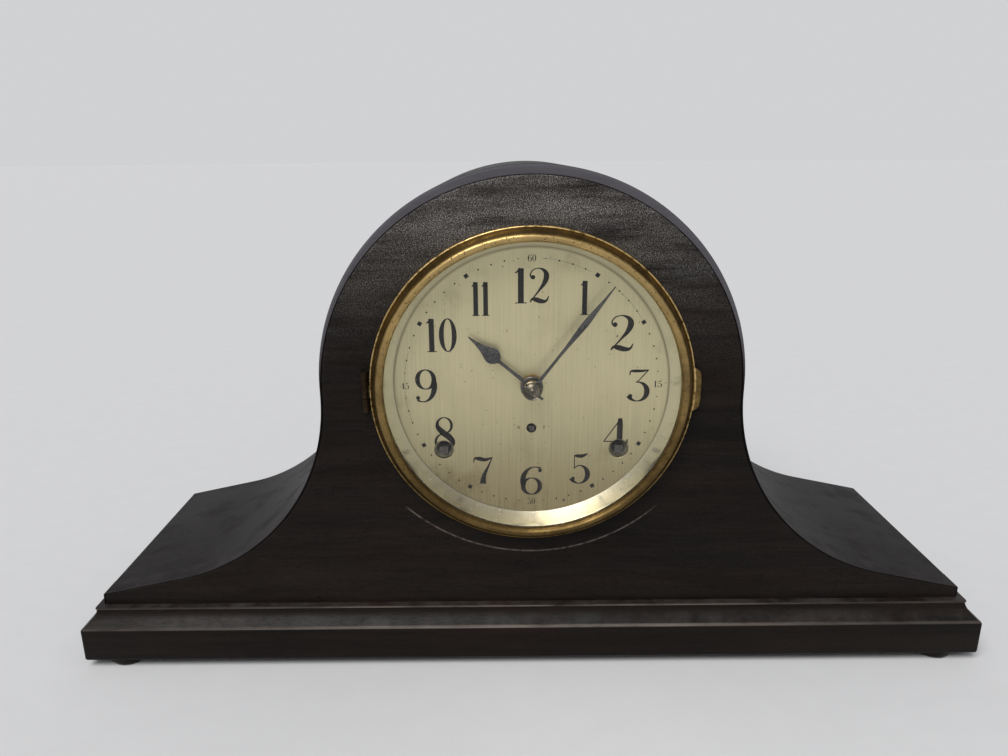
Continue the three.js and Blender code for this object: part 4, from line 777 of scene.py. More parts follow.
def smooth_line(points: Sequence[Sequence[float]], steps: int) -> list[tuple[float, ...]]:
    """Draws a smooth line through points of any number of values.

    Args:
        points: the points that the line passes through.
        steps: how many samples each stretch gets.

    Returns:
        The samples, both ends included.
    """
    rows = [points[0], *points, points[-1]]
    line: list[tuple[float, ...]] = []
    for a, b, c, d in zip(rows, rows[1:], rows[2:], rows[3:]):
        for k in range(steps):
            t = k / steps
            line.append(tuple(
                0.5 * (2 * q + (r - p) * t + (2 * p - 5 * q + 4 * r - s) * t ** 2
                       + (3 * q - p - 3 * r + s) * t ** 3)
                for p, q, r, s in zip(a, b, c, d)))
    return [*line, tuple(rows[-1])]


def polar(radius: float, angle: float, centre: Point2 = (0.0, 0.0)) -> Point2:
    """Returns the point at a radius and an angle in degrees from a centre."""
    turn = math.radians(angle)
    return centre[0] + radius * math.cos(turn), centre[1] + radius * math.sin(turn)


def arc(centre: Point2, radius: float, start: float, end: float, steps: int) -> list[Point2]:
    """Returns the points of an arc between two angles in degrees."""
    return [polar(radius, start + (end - start) * k / steps, centre) for k in range(steps + 1)]


def circle(centre: Point2, radius: float, sides: int) -> list[Point2]:
    """Returns the points of a full circle, each once."""
    return arc(centre, radius, 0, 360, sides)[:-1]


def stand(name: str, data: bpy.types.ID) -> bpy.types.Object:
    """Makes an object of a mesh, a lamp or a camera and stands it in the scene.

    Args:
        name: the object's name.
        data: the mesh, the lamp or the camera.

    Returns:
        The object.
    """
    made = bpy.data.objects.new(name, data)
    bpy.context.scene.collection.objects.link(made)
    return made


@dataclass
class Shape:
    """The points, in millimetres, and faces of one piece while it is being made."""

    points: list[Vector] = field(default_factory=list)
    faces: list[tuple[int, ...]] = field(default_factory=list)

    def ring(self, points: Sequence[Sequence[float]]) -> list[int]:
        """Adds points.

        Args:
            points: the points, in millimetres.

        Returns:
            Their numbers.
        """
        first = len(self.points)
        self.points += [Vector(p) for p in points]
        return list(range(first, len(self.points)))

    def join(self, one: list[int], two: list[int]) -> None:
        """Joins two closed rows of points with faces.

        Args:
            one: the numbers of the first row's points; a row of one point is a pole.
            two: the numbers of the second row's points.
        """
        count = max(len(one), len(two))
        for k in range(count):
            j = (k + 1) % count
            face = [one[k % len(one)], one[j % len(one)], two[j % len(two)], two[k % len(two)]]
            kept = list(dict.fromkeys(face))
            if len(kept) > 2:
                self.faces.append(tuple(kept))

    def loft(self, rows: Sequence[Sequence[Sequence[float]]]) -> "Shape":
        """Joins closed rows of points one after another and closes both ends.

        Args:
            rows: the rows, each with the same number of points.

        Returns:
            This shape.
        """
        rings = [self.ring(row) for row in rows]
        for one, two in zip(rings, rings[1:]):
            self.join(one, two)
        self.faces += [tuple(rings[0]), tuple(rings[-1])]
        return self

    def turn(self, profile: Sequence[Point2], centre: Sequence[float], steps: int = 96,
             axis: Axis = Axis.DEPTH, closed: bool = True) -> "Shape":
        """Turns a profile about an axis.

        Args:
            profile: points of radius and distance along the axis.
            centre: a point that the axis passes through; its value along the axis is added.
            steps: the number of sides.
            axis: the axis that the form stands along.
            closed: True if the profile's end joins its start.

        Returns:
            This shape.
        """
        rings = []
        for radius, along in profile:
            count = steps if radius > 1e-6 else 1
            row = []
            for k in range(count):
                u, v = polar(radius, 360 * k / steps)
                local = (u, along, v) if axis is Axis.DEPTH else (u, v, along)
                row.append([c + p for c, p in zip(centre, local)])
            rings.append(self.ring(row))
        pairs = list(zip(rings, rings[1:])) + ([(rings[-1], rings[0])] if closed else [])
        for one, two in pairs:
            if len(one) > 1 or len(two) > 1:
                self.join(one, two)
        return self

    def board(self, outline: Outline, holes: Sequence[Outline], levels: Sequence[Point2]) -> "Shape":
        """Builds an upright board with shaped edges.

        Args:
            outline: gives the outline, drawn in by an inset.
            holes: each gives a hole's outline, opened out by an inset.
            levels: the depth and the inset of each step from one face to the other.

        Returns:
            This shape.
        """
        edges = []
        for line in (outline, *holes):
            edges.append([self.ring([(x, y, z) for x, z in line(inset)]) for y, inset in levels])
            for one, two in zip(edges[-1], edges[-1][1:]):
                self.join(one, two)
        for end in (0, -1):
            rings = [rows[end] for rows in edges]
            flat = [i for ring in rings for i in ring]
            loops = [[Vector((self.points[i].x, self.points[i].z, 0)) for i in ring] for ring in rings]
            self.faces += [tuple(flat[i] for i in face) for face in tessellate_polygon(loops)]
        return self

    def wire(self, path: Sequence[Sequence[float]], radii: Sequence[float], sides: int = 12) -> "Shape":
        """Sweeps a round wire along a path.

        Args:
            path: the points of the wire's middle line.
            radii: the wire's radius at each point.
            sides: the number of sides of its section.

        Returns:
            This shape.
        """
        line = [Vector(p) for p in path]
        side = Vector((0, 1, 0))
        rows = []
        for k, point in enumerate(line):
            ahead = (line[min(k + 1, len(line) - 1)] - line[max(k - 1, 0)]).normalized()
            if abs(ahead.dot(side)) > 0.95:
                side = Vector((1, 0, 0))
            across = ahead.cross(side).normalized()
            side = across.cross(ahead).normalized()
            rows.append([point + u * across + v * side for u, v in circle((0, 0), radii[k], sides)])
        return self.loft(rows)

    def piece(self, name: str, finish: Finish, body: str, slot: str, stands_for: Sequence[str] = (),
              solid: bool = True, sharp: float = 32.0) -> bpy.types.Object:
        """Makes the shape an object that rides on a body.

        Args:
            name: the piece's name.
            finish: its finish.
            body: the body that it moves with.
            slot: the record's material slot that it belongs to; not used.
            stands_for: the solids that it shows in place of.
            solid: True if it is a closed form.
            sharp: the angle in degrees above which an edge stays crisp.

        Returns:
            The object.
        """
        mesh = bpy.data.meshes.new(name)
        mesh.from_pydata([tuple(MM * p) for p in self.points], [], self.faces)
        work = bmesh.new()
        work.from_mesh(mesh)
        if solid:
            bmesh.ops.recalc_face_normals(work, faces=work.faces)
        for face in work.faces:
            face.smooth = True
        work.to_mesh(mesh)
        work.free()
        mesh.set_sharp_from_angle(angle=math.radians(sharp))
        made = stand(name, mesh)
        mesh.materials.append(finish.material())
        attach(made, body)
        if stands_for:
            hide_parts(*stands_for)
        log.info("%s: %d faces on %s", name, len(mesh.polygons), body)
        return made


@dataclass
class Plinth:
    """The moulded base board and its four feet, in millimetres."""

    half_length: float = 260.0
    half_depth: float = 75.5
    foot_height: float = 4.5
    face_top: float = 24.9
    top: float = 34.9
    ease: float = 1.4
    ledge_inset: float = 6.8
    ledge: float = 1.3
    quirk: float = 0.4
    nose: Sequence[Point2] = ((0.0, 0.28), (0.16, 0.06), (0.4, 0.0), (0.75, 0.02), (0.93, 0.16), (1.0, 0.45))
    hollow_steps: int = 14
    corner: float = 1.6
    foot_radius: float = 11.0
    foot_x: float = 238.5
    foot_y: float = 63.6
    foot_gap: float = 0.1

    def profile(self) -> list[Point2]:
        """Works out the moulding of the base.

        Returns:
            The height and inset of each step, from the foot up.
        """
        ease, shelf, deep = self.ease, self.top - self.ledge, self.ledge_inset + self.quirk
        quarter = arc((0, 0), ease, 0, 90, 4)
        steps = [(self.foot_height + ease - c, ease - s) for c, s in quarter]
        steps += [(self.face_top - ease + s, ease - c) for c, s in quarter]
        for k in range(1, self.hollow_steps + 1):
            share = k / self.hollow_steps
            steps.append((self.face_top + (shelf - self.face_top) * share,
                          ease + (deep - ease) * math.sin(share * math.pi / 2)))
        return steps + [(shelf + self.ledge * up, self.ledge_inset + back) for up, back in self.nose]

    def loop(self, height: float, inset: float) -> list[Point3]:
        """Returns the outline of the base at one step, with small round front corners.

        Args:
            height: the height of the step.
            inset: how far the outline is drawn in there.

        Returns:
            The points of the outline.
        """
        x, front, r = self.half_length - inset, -self.half_depth + inset, self.corner
        left = arc((-x + r, front + r), r, 180, 270, 5)
        right = arc((x - r, front + r), r, 270, 360, 5)
        flat = [*left, *right, (x, self.half_depth), (-x, self.half_depth)]
        return [(px, py, height) for px, py in flat]

    def build(self) -> None:
        """Makes the moulded board and the turned feet."""
        board = Shape().loft([self.loop(z, inset) for z, inset in self.profile()])
        board.piece("plinth_moulding", BASE_WOOD, "case", "dark_wood", ["base_plinth"])
        r, h = self.foot_radius, self.foot_height - self.foot_gap
        turned = [(0, 0), (r * 0.8, 0), (r * 0.88, 0.25), (r * 0.96, 0.9), (r, 1.9), (r * 0.99, h - 0.6),
                  (r * 0.95, h), (0, h)]
        for side, x in (("left", -self.foot_x), ("right", self.foot_x)):
            for end, y in (("front", -self.foot_y), ("back", self.foot_y)):
                foot = Shape().turn(turned, (x, y, 0), 48, Axis.UP, closed=False)
                node = f"foot_{end}_{side}"
                foot.piece(f"{node}_turned", FOOT_WOOD, "case", "dark_wood", [node])


@dataclass
class CaseLine:
    """One outline of the case: arch, short straight side, hollow wing and sloping tip."""

    side: float
    centre: float
    radius: float
    tip_x: float = 248.9
    tip_z: float = 41.3
    foot: float = 35.0
    flare_top: float = 160.6
    slope: float = 12.0

    def half(self, inset: float, end: float) -> list[Point2]:
        """Returns the right side of the outline.

        Args:
            inset: how far the outline is drawn in.
            end: how far to the right it ends.

        Returns:
            The points from the foot to the top of the hollow.
        """
        cos, sin = polar(1.0, self.slope)
        lift = self.flare_top - self.tip_z - (self.tip_x - self.side) * sin / cos
        wing = lift / (cos - (1 - sin) * sin / cos)
        tip = self.tip_z + (self.tip_x - end) * sin / cos - inset / cos
        hollow = arc((self.side + wing, self.flare_top), wing + inset, -90 - self.slope, -180, 48)
        return [(end, self.foot), (end, tip), *hollow]

    def around(self, inset: float, end_inset: float) -> list[Point2]:
        """Returns the whole outline from foot to foot.

        Args:
            inset: how far the outline is drawn in.
            end_inset: how far its two ends are drawn in.

        Returns:
            The points from the right foot over the arch to the left foot.
        """
        right = self.half(inset, self.tip_x - end_inset)
        arch = arc((0, self.centre), self.radius - inset, 0, 180, ARCH_STEPS)
        return [*right, *arch, *[(-x, z) for x, z in reversed(right)]]


@dataclass
class CaseShell:
    """The bent skin with its hood over the arch, and the grained front panel, in millimetres."""

    skin: CaseLine = field(default_factory=lambda: CaseLine(114.3, 167.1, 114.3))
    panel: CaseLine = field(default_factory=lambda: CaseLine(113.6, 162.8, 113.6))
    front: float = -64.4
    panel_back: float = -50.4
    back: float = 75.5
    wall: float = 4.5
    tip_block: float = 14.0
    opening: float = 83.0
    dial_z: float = DIAL_Z
    seat: float = 0.1
    least_edge: float = 0.16
    edge_gap: float = 0.03
    edge_lap: float = 0.3
    edge_nose: float = 1.6

    def build(self) -> None:
        """Makes the skin, the hood and the panel."""
        self.make_skin()
        self.make_hood()
        self.make_panel()

    def make_skin(self) -> None:
        """Makes the wrapped band."""
        start = self.panel_back + self.seat
        levels = [(start, 0.0, 0.0), (self.back - 1.2, 0.0, 0.0), (self.back - 0.5, 0.2, 0.2),
                  (self.back - 0.12, 0.7, 0.7), (self.back, 1.3, 1.3), (self.back, self.wall, self.tip_block),
                  (start, self.wall, self.tip_block)]
        lines = [self.skin.around(inset, end) for _, inset, end in levels]
        sections = [[(line[k][0], level[0], line[k][1]) for line, level in zip(lines, levels)]
                    for k in range(len(lines[0]))]
        Shape().loft(sections).piece("bent_skin", SKIN_WOOD, "case", "dark_wood", ["case_skin"], sharp=40)

    def edge_row(self, outer: Point2, inner: Point2) -> list[Point3]:
        """Returns a section of the skin's front edge, square at its inner side and rounded at its outer side.

        Args:
            outer: the section's point on the outside of the skin.
            inner: its point beside the panel.

        Returns:
            The points round the section.
        """
        start = self.panel_back + self.seat + self.edge_lap
        (ox, oz), (ix, iz) = outer, inner
        thick = math.hypot(ox - ix, oz - iz)
        nose = min(self.edge_nose, 0.6 * thick)
        row = [(ix, start, iz), (ix, self.front + 0.25, iz)]
        for ahead, aside in arc((0, 0), nose, 0, 90, 6):
            share = 1 - (nose - aside) / thick
            row.append((ix + (ox - ix) * share, self.front + nose - ahead, iz + (oz - iz) * share))
        return [*row, (ox, start, oz)]

    def make_hood(self) -> None:
        """Makes the edge over the arch, pale with painted sheen and partly faded, and the thin dark edges
        down the sides and along the wings.
        """
        lip = self.panel.radius + self.seat
        spring = math.degrees(math.asin((self.skin.centre - self.panel.centre) / lip))
        outer = arc((0, self.skin.centre), self.skin.radius, 0, 180, ARCH_STEPS)
        inner = arc((0, self.panel.centre), lip, spring, 180 - spring, ARCH_STEPS)
        Shape().loft([self.edge_row(o, i) for o, i in zip(outer, inner)]).piece(
            "arch_hood", HOOD_WOOD, "case", "dark_wood", sharp=40)
        right = [*self.side_line(), (outer[0], inner[0])]
        sides = Shape().loft([self.edge_row(o, i) for o, i in right])
        sides.loft([self.edge_row((-ox, oz), (-ix, iz)) for (ox, oz), (ix, iz) in reversed(right)])
        sides.piece("side_edges", EDGE_WOOD, "case", "dark_wood", sharp=40)

    def side_line(self) -> list[tuple[Point2, Point2]]:
        """Works out the skin's thin edge from the right foot up to the arch.

        Returns:
            The outer and the inner point of each step.
        """
        tip = self.panel.tip_x
        board, wrap = self.panel.half(0.0, tip), self.skin.half(0.0, tip)
        pairs = []
        for k, ((x, z), (sx, sz)) in enumerate(zip(board, wrap)):
            (ax, az), (bx, bz) = board[max(k - 1, 0)], board[min(k + 1, len(board) - 1)]
            size = math.hypot(bx - ax, bz - az)
            nx, nz = (bz - az) / size, (ax - bx) / size
            far = max(self.least_edge, (sx - x) * nx + (sz - z) * nz)
            pairs.append(tuple((x + nx * reach, z + nz * reach) for reach in (far, self.edge_gap)))
        return pairs

    def make_panel(self) -> None:
        """Makes the front panel with a softened edge and its round dial opening."""
        edge = ((0.0, 1.5), (0.12, 0.95), (0.45, 0.45), (0.95, 0.12), (1.5, 0.0))
        levels = [*[(self.front + depth, inset) for depth, inset in edge], (self.panel_back, 0.0)]
        panel = Shape().board(
            lambda inset: self.panel.around(inset, inset),
            [lambda inset: circle((0, self.dial_z), self.opening + 0.5 * inset, 144)], levels)
        panel.piece("front_panel_board", PANEL_WOOD, "case", "dark_wood", ["front_panel"], sharp=40)


class Figure:
    """Dial figures as pen strokes, in a height of one: thick stems, hairlines and ball ends."""

    HAIR = 0.032
    STEM = 0.165

    @classmethod
    def oval(cls, centre: Point2, rx: float, ry: float, start: float, end: float,
             thick: float) -> list[Point3]:
        """Draws a stroke along part of an oval, thick at its sides and thin at top and foot.

        Args:
            centre: the oval's centre.
            rx: its radius sideways.
            ry: its radius upwards.
            start: the angle in degrees that the stroke starts at.
            end: the angle that it ends at.
            thick: its width at the sides.

        Returns:
            The stroke as x, height and width.
        """
        return [(centre[0] + rx * c, centre[1] + ry * s, cls.HAIR + (thick - cls.HAIR) * abs(c) ** 1.6)
                for c, s in arc((0, 0), 1.0, start, end, 36)]

    @classmethod
    def strokes(cls, sign: str) -> tuple[list[list[Point3]], list[Point3]]:
        """Returns the strokes and the balls of a sign.

        Args:
            sign: a digit, or S or F.

        Returns:
            Strokes as rows of x, height and width, and balls as x, height and radius.
        """
        hair, stem = cls.HAIR, cls.STEM
        if sign == "9":
            lines, balls = cls.strokes("6")
            return ([[(0.66 - x, 1 - y, w) for x, y, w in line] for line in lines],
                    [(0.66 - x, 1 - y, r) for x, y, r in balls])
        return {
            "0": lambda: ([cls.oval((0.29, 0.5), 0.215, 0.483, 0, 360, 0.155)], []),
            "1": lambda: ([[(0.165, 0.0, stem), (0.165, 0.5, stem), (0.165, 0.985, stem)],
                           smooth_line([(0.0, 0.86, hair), (0.07, 0.895, 0.05), (0.15, 0.985, 0.06)], 6),
                           [(0.0, 0.014, 0.028), (0.33, 0.014, 0.028)]], []),
            "2": lambda: ([smooth_line([(0.10, 0.70, 0.05), (0.05, 0.80, 0.04), (0.12, 0.93, hair),
                                        (0.29, 0.983, hair), (0.45, 0.91, 0.10), (0.505, 0.76, 0.155),
                                        (0.44, 0.56, 0.12), (0.28, 0.34, 0.055), (0.06, 0.06, hair)], 8),
                           smooth_line([(0.045, 0.03, hair), (0.10, 0.115, 0.07), (0.21, 0.105, 0.135),
                                        (0.36, 0.06, 0.13), (0.50, 0.07, 0.07), (0.575, 0.21, 0.022)], 8)],
                          [(0.125, 0.735, 0.062)]),
            "3": lambda: ([smooth_line([(0.05, 0.83, 0.026), (0.075, 0.945, 0.05), (0.20, 0.955, 0.09),
                                        (0.42, 0.955, 0.075), (0.60, 0.985, hair)], 8),
                           [(0.60, 0.985, hair), (0.27, 0.60, hair)],
                           cls.oval((0.29, 0.312), 0.285, 0.297, 100, -155, stem)],
                          [(0.085, 0.175, 0.062)]),
            "4": lambda: ([[(0.50, 0.99, hair), (0.03, 0.30, hair)],
                           [(0.02, 0.295, hair), (0.70, 0.295, hair)],
                           [(0.475, 0.99, stem * 0.7), (0.475, 0.80, stem), (0.475, 0.0, stem)],
                           [(0.28, 0.014, 0.028), (0.67, 0.014, 0.028)],
                           [(0.695, 0.23, hair), (0.695, 0.36, hair)]], []),
            "5": lambda: ([[(0.115, 0.96, hair), (0.115, 0.50, hair)],
                           smooth_line([(0.10, 0.945, hair), (0.22, 0.925, 0.11), (0.38, 0.925, 0.115),
                                        (0.55, 1.0, hair)], 8),
                           smooth_line([(0.115, 0.50, hair), (0.17, 0.57, hair), (0.285, 0.61, 0.04)], 6),
                           cls.oval((0.275, 0.312), 0.285, 0.297, 92, -155, stem)],
                          [(0.075, 0.175, 0.062)]),
            "6": lambda: ([cls.oval((0.345, 0.305), 0.24, 0.29, 0, 360, 0.14),
                           cls.oval((0.44, 0.5), 0.345, 0.484, 200, 62, 0.165)],
                          [(0.585, 0.865, 0.06)]),
            "7": lambda: ([smooth_line([(0.03, 0.78, 0.026), (0.055, 0.94, 0.06), (0.19, 0.935, 0.135),
                                        (0.38, 0.895, 0.11), (0.57, 0.985, hair)], 8),
                           smooth_line([(0.575, 0.985, hair), (0.46, 0.66, 0.06), (0.33, 0.32, 0.13),
                                        (0.29, 0.0, 0.20)], 10)], []),
            "8": lambda: ([cls.oval((0.30, 0.755), 0.205, 0.228, 0, 360, 0.075),
                           cls.oval((0.30, 0.265), 0.25, 0.247, 0, 360, 0.07),
                           smooth_line([(0.13, 0.86, 0.05), (0.115, 0.72, 0.12), (0.26, 0.545, 0.175),
                                        (0.44, 0.40, 0.175), (0.53, 0.24, 0.13), (0.48, 0.10, 0.05)], 10)],
                          []),
            "S": lambda: ([smooth_line([(0.50, 0.78, 0.07), (0.30, 0.97, 0.08), (0.08, 0.74, 0.14),
                                        (0.30, 0.50, 0.18), (0.52, 0.26, 0.14), (0.28, 0.03, 0.08),
                                        (0.06, 0.24, 0.07)], 6)], []),
            "F": lambda: ([[(0.14, 0.0, 0.18), (0.14, 1.0, 0.18)], [(0.05, 0.95, 0.09), (0.58, 0.95, 0.09)],
                           [(0.14, 0.52, 0.09), (0.46, 0.52, 0.09)]], []),
        }[sign]()


@dataclass
class Print:
    """Flat print on the dial, laid a hair in front of it."""

    level: float
    centre_z: float
    gaps: Sequence[Point3] = ()
    shape: Shape = field(default_factory=Shape)
    sign_gap: float = 0.07

    def face(self, corners: Sequence[Point2]) -> None:
        """Adds one small face facing forward, unless it lies over a hole of the dial.

        Args:
            corners: the face's corners, from the dial centre.
        """
        x, z = (sum(values) / len(corners) for values in zip(*corners))
        if any(math.hypot(x - gx, z - gz) < r for gx, gz, r in self.gaps):
            return
        area = sum(a[0] * b[1] - b[0] * a[1] for a, b in zip(corners, [*corners[1:], corners[0]]))
        ordered = list(corners) if area > 0 else list(reversed(corners))
        ring = self.shape.ring([(cx, self.level, self.centre_z + cz) for cx, cz in ordered])
        self.shape.faces.append(tuple(ring))

    def stroke(self, line: Sequence[Point3]) -> None:
        """Lays a pen stroke of changing width, in short faces, and in finer ones beside a hole.

        Args:
            line: the stroke's points and its width at each.
        """
        near = any(math.hypot(x - gx, z - gz) < r + 2 for x, z, _ in line for gx, gz, r in self.gaps)
        longest = max(math.dist(p[:2], q[:2]) for p, q in zip(line, line[1:]))
        steps = max(8 if len(line) < 4 else 1, math.ceil(longest / 0.22) if near else 1)
        bands = 8 if near else 2
        line = [tuple(a + (b - a) * k / steps for a, b in zip(p, q)) for p, q in zip(line, line[1:])
                for k in range(steps)] + [line[-1]]
        sides = []
        for k, (x, z, w) in enumerate(line):
            a, b = line[max(k - 1, 0)], line[min(k + 1, len(line) - 1)]
            dx, dz = b[0] - a[0], b[1] - a[1]
            size = math.hypot(dx, dz) or 1.0
            nx, nz = -dz / size * w / 2, dx / size * w / 2
            shares = [2 * band / bands - 1 for band in range(bands + 1)]
            sides.append([(x + nx * share, z + nz * share) for share in shares])
        for one, two in zip(sides, sides[1:]):
            for k in range(bands):
                self.face([one[k], one[k + 1], two[k + 1], two[k]])

    def disc(self, x: float, z: float, radius: float, sides: int = 20) -> None:
        """Lays a round dot."""
        self.face(circle((x, z), radius, sides))

    def figure(self, text: str, centre: Point2, size: Point2) -> None:
        """Lays a number so that it fills a box.

        Args:
            text: the signs to lay side by side.
            centre: the middle of the box, from the dial centre.
            size: the width and height of the box.
        """
        lines, balls, pen = [], [], 0.0
        for sign in text:
            strokes, dots = Figure.strokes(sign)
            low = min(x - w / 2 for line in strokes for x, _, w in line)
            high = max(x + w / 2 for line in strokes for x, _, w in line)
            lines += [[(x - low + pen, y, w) for x, y, w in line] for line in strokes]
            balls += [(x - low + pen, y, r) for x, y, r in dots]
            pen += high - low + self.sign_gap
        width, height = pen - self.sign_gap, size[1]
        across = size[0] / width
        weight = math.sqrt(across * height)

        def laid(row: Sequence[Point3]) -> list[Point3]:
            """Returns points of the pen's drawing at their place and size on the dial."""
            return [(centre[0] + (x - width / 2) * across, centre[1] + (y - 0.5) * height, t * weight)
                    for x, y, t in row]

        for line in lines:
            self.stroke(laid(line))
        for x, z, radius in laid(balls):
            self.disc(x, z, radius)


@dataclass
class Dial:
    """The silvered dial plate with its holes and print, in millimetres."""

    radius: float = 82.0
    face: float = -55.4
    thickness: float = 0.8
    centre_z: float = DIAL_Z
    pipe_hole: float = 6.0
    winding_hole: float = 5.45
    regulator_hole: float = 2.7
    winding: Sequence[Point2] = ((49.0, -37.6), (-49.0, -37.6))
    regulator: Point2 = (0.0, -25.0)
    print_gap: float = 0.05
    track: float = 69.4
    foot_circle: float = 66.0
    foot_radius: float = 2.0
    foot_length: float = 8.9
    bush_bore: float = 3.75
    bush_radius: float = 7.2
    bush_face: float = -52.8
    plate_face: float = -46.4
    numbers: Sequence[tuple[str, Point2, Point2]] = (
        ("12", (0.0, 54.8), (18.4, 19.0)), ("1", (28.1, 48.1), (4.9, 18.6)),
        ("2", (48.8, 28.7), (12.5, 20.0)), ("3", (58.5, -0.8), (12.9, 18.3)),
        ("4", (47.1, -29.3), (14.0, 19.6)), ("5", (27.4, -49.7), (11.8, 18.3)),
        ("6", (0.0, -56.8), (12.7, 17.2)), ("7", (-27.2, -50.3), (11.0, 16.4)),
        ("8", (-48.4, -28.2), (11.6, 20.0)), ("9", (-57.7, -0.1), (12.0, 18.8)),
        ("10", (-48.6, 28.3), (16.4, 18.6)), ("11", (-27.2, 47.9), (9.7, 18.4)),
        ("S", (-6.9, -24.6), (1.3, 1.9)), ("F", (7.3, -24.6), (1.3, 1.9)))
    quarter_size: Point2 = (4.4, 3.7)
    square_half: float = 1.1
    dot_radius: float = 0.48
    small_dot_radius: float = 0.34
    ring_lines: Sequence[Point2] = ((4, 27), (38, 58), (252, 286))
    ring_width: float = 0.11

    def build(self) -> None:
        """Makes the plate, the bushes behind it and the print."""
        self.make_plate()
        self.make_bushes()
        self.print_hours()
        self.print_track()

    def make_plate(self) -> None:
        """Makes the plate with its holes and its three feet."""
        spots = [(0.0, 0.0, self.pipe_hole), (*self.regulator, self.regulator_hole)]
        spots += [(x, z, self.winding_hole) for x, z in self.winding]

        def hole(x: float, z: float, radius: float) -> Outline:
            """Returns a hole's outline by inset."""
            return lambda inset: circle((x, z + self.centre_z), radius + inset, 48)

        levels = [(self.face, 0.12), (self.face + 0.12, 0.0), (self.face + self.thickness, 0.0)]
        plate = Shape().board(lambda inset: circle((0, self.centre_z), self.radius - inset, 160),
                              [hole(*spot) for spot in spots], levels)
        root, end = self.thickness / 2, self.foot_length
        foot = [(0, root), (self.foot_radius, root), (self.foot_radius, end), (0, end)]
        for angle in (45, 135, 270):
            x, z = polar(self.foot_circle, angle, (0, self.centre_z))
            plate.turn(foot, (x, self.face, z), 20, closed=False)
        plate.piece("dial_disc", DIAL_SILVER, "case", "silvered_dial", ["dial_plate"])

    def make_bushes(self) -> None:
        """Turns the stepped brass bushes of the winding arbors, which stand on the front plate."""
        bore, rim, front, back = self.bush_bore, self.bush_radius, self.bush_face, self.plate_face
        section = [(bore, front + 0.75), (bore + 0.45, front + 0.6), (bore + 0.6, front + 0.1),
                   (bore + 0.8, front), (rim - 0.3, front), (rim, front + 0.3), (rim, back),
                   (bore + 0.6, back), (bore + 0.6, back - 0.6), (bore, back - 0.8)]
        bushes = Shape()
        for x, z in self.winding:
            bushes.turn(section, (x, 0, z + self.centre_z), 64)
        bushes.piece("winding_bushes", BUSH_BRASS, "case", "brass", sharp=35)

    def sheet(self) -> Print:
        """Returns a new sheet of print, kept clear of the dial's holes."""
        return Print(self.face - self.print_gap, self.centre_z,
                     [(x, z, self.winding_hole + 0.2) for x, z in self.winding])

    def print_hours(self) -> None:
        """Prints the hour numbers and the two regulator letters."""
        hours = self.sheet()
        for text, centre, size in self.numbers:
            hours.figure(text, centre, size)
        hours.shape.piece("hour_numbers", INK, "case", "silvered_dial", solid=False)

    def print_track(self) -> None:
        """Prints the minute dots, the five-minute squares, the quarter numbers and the worn ring line."""
        track = self.sheet()
        for minute in range(60):
            angle = 90 - 6 * minute
            x, z = polar(self.track, angle)
            if minute % 15 == 0:
                track.figure(str(minute or 60), (x, z), self.quarter_size)
            elif minute % 5 == 0:
                track.face(arc((x, z), math.sqrt(2) * self.square_half, angle + 45, angle + 315, 3))
            else:
                track.disc(x, z, self.small_dot_radius if minute % 15 in (1, 14) else self.dot_radius, 10)
        for start, end in self.ring_lines:
            line = arc((0, 0), self.track, 90 - start, 90 - end, 40)
            track.stroke([(x, z, self.ring_width) for x, z in line])
        track.shape.piece("minute_track", INK, "case", "silvered_dial", solid=False)


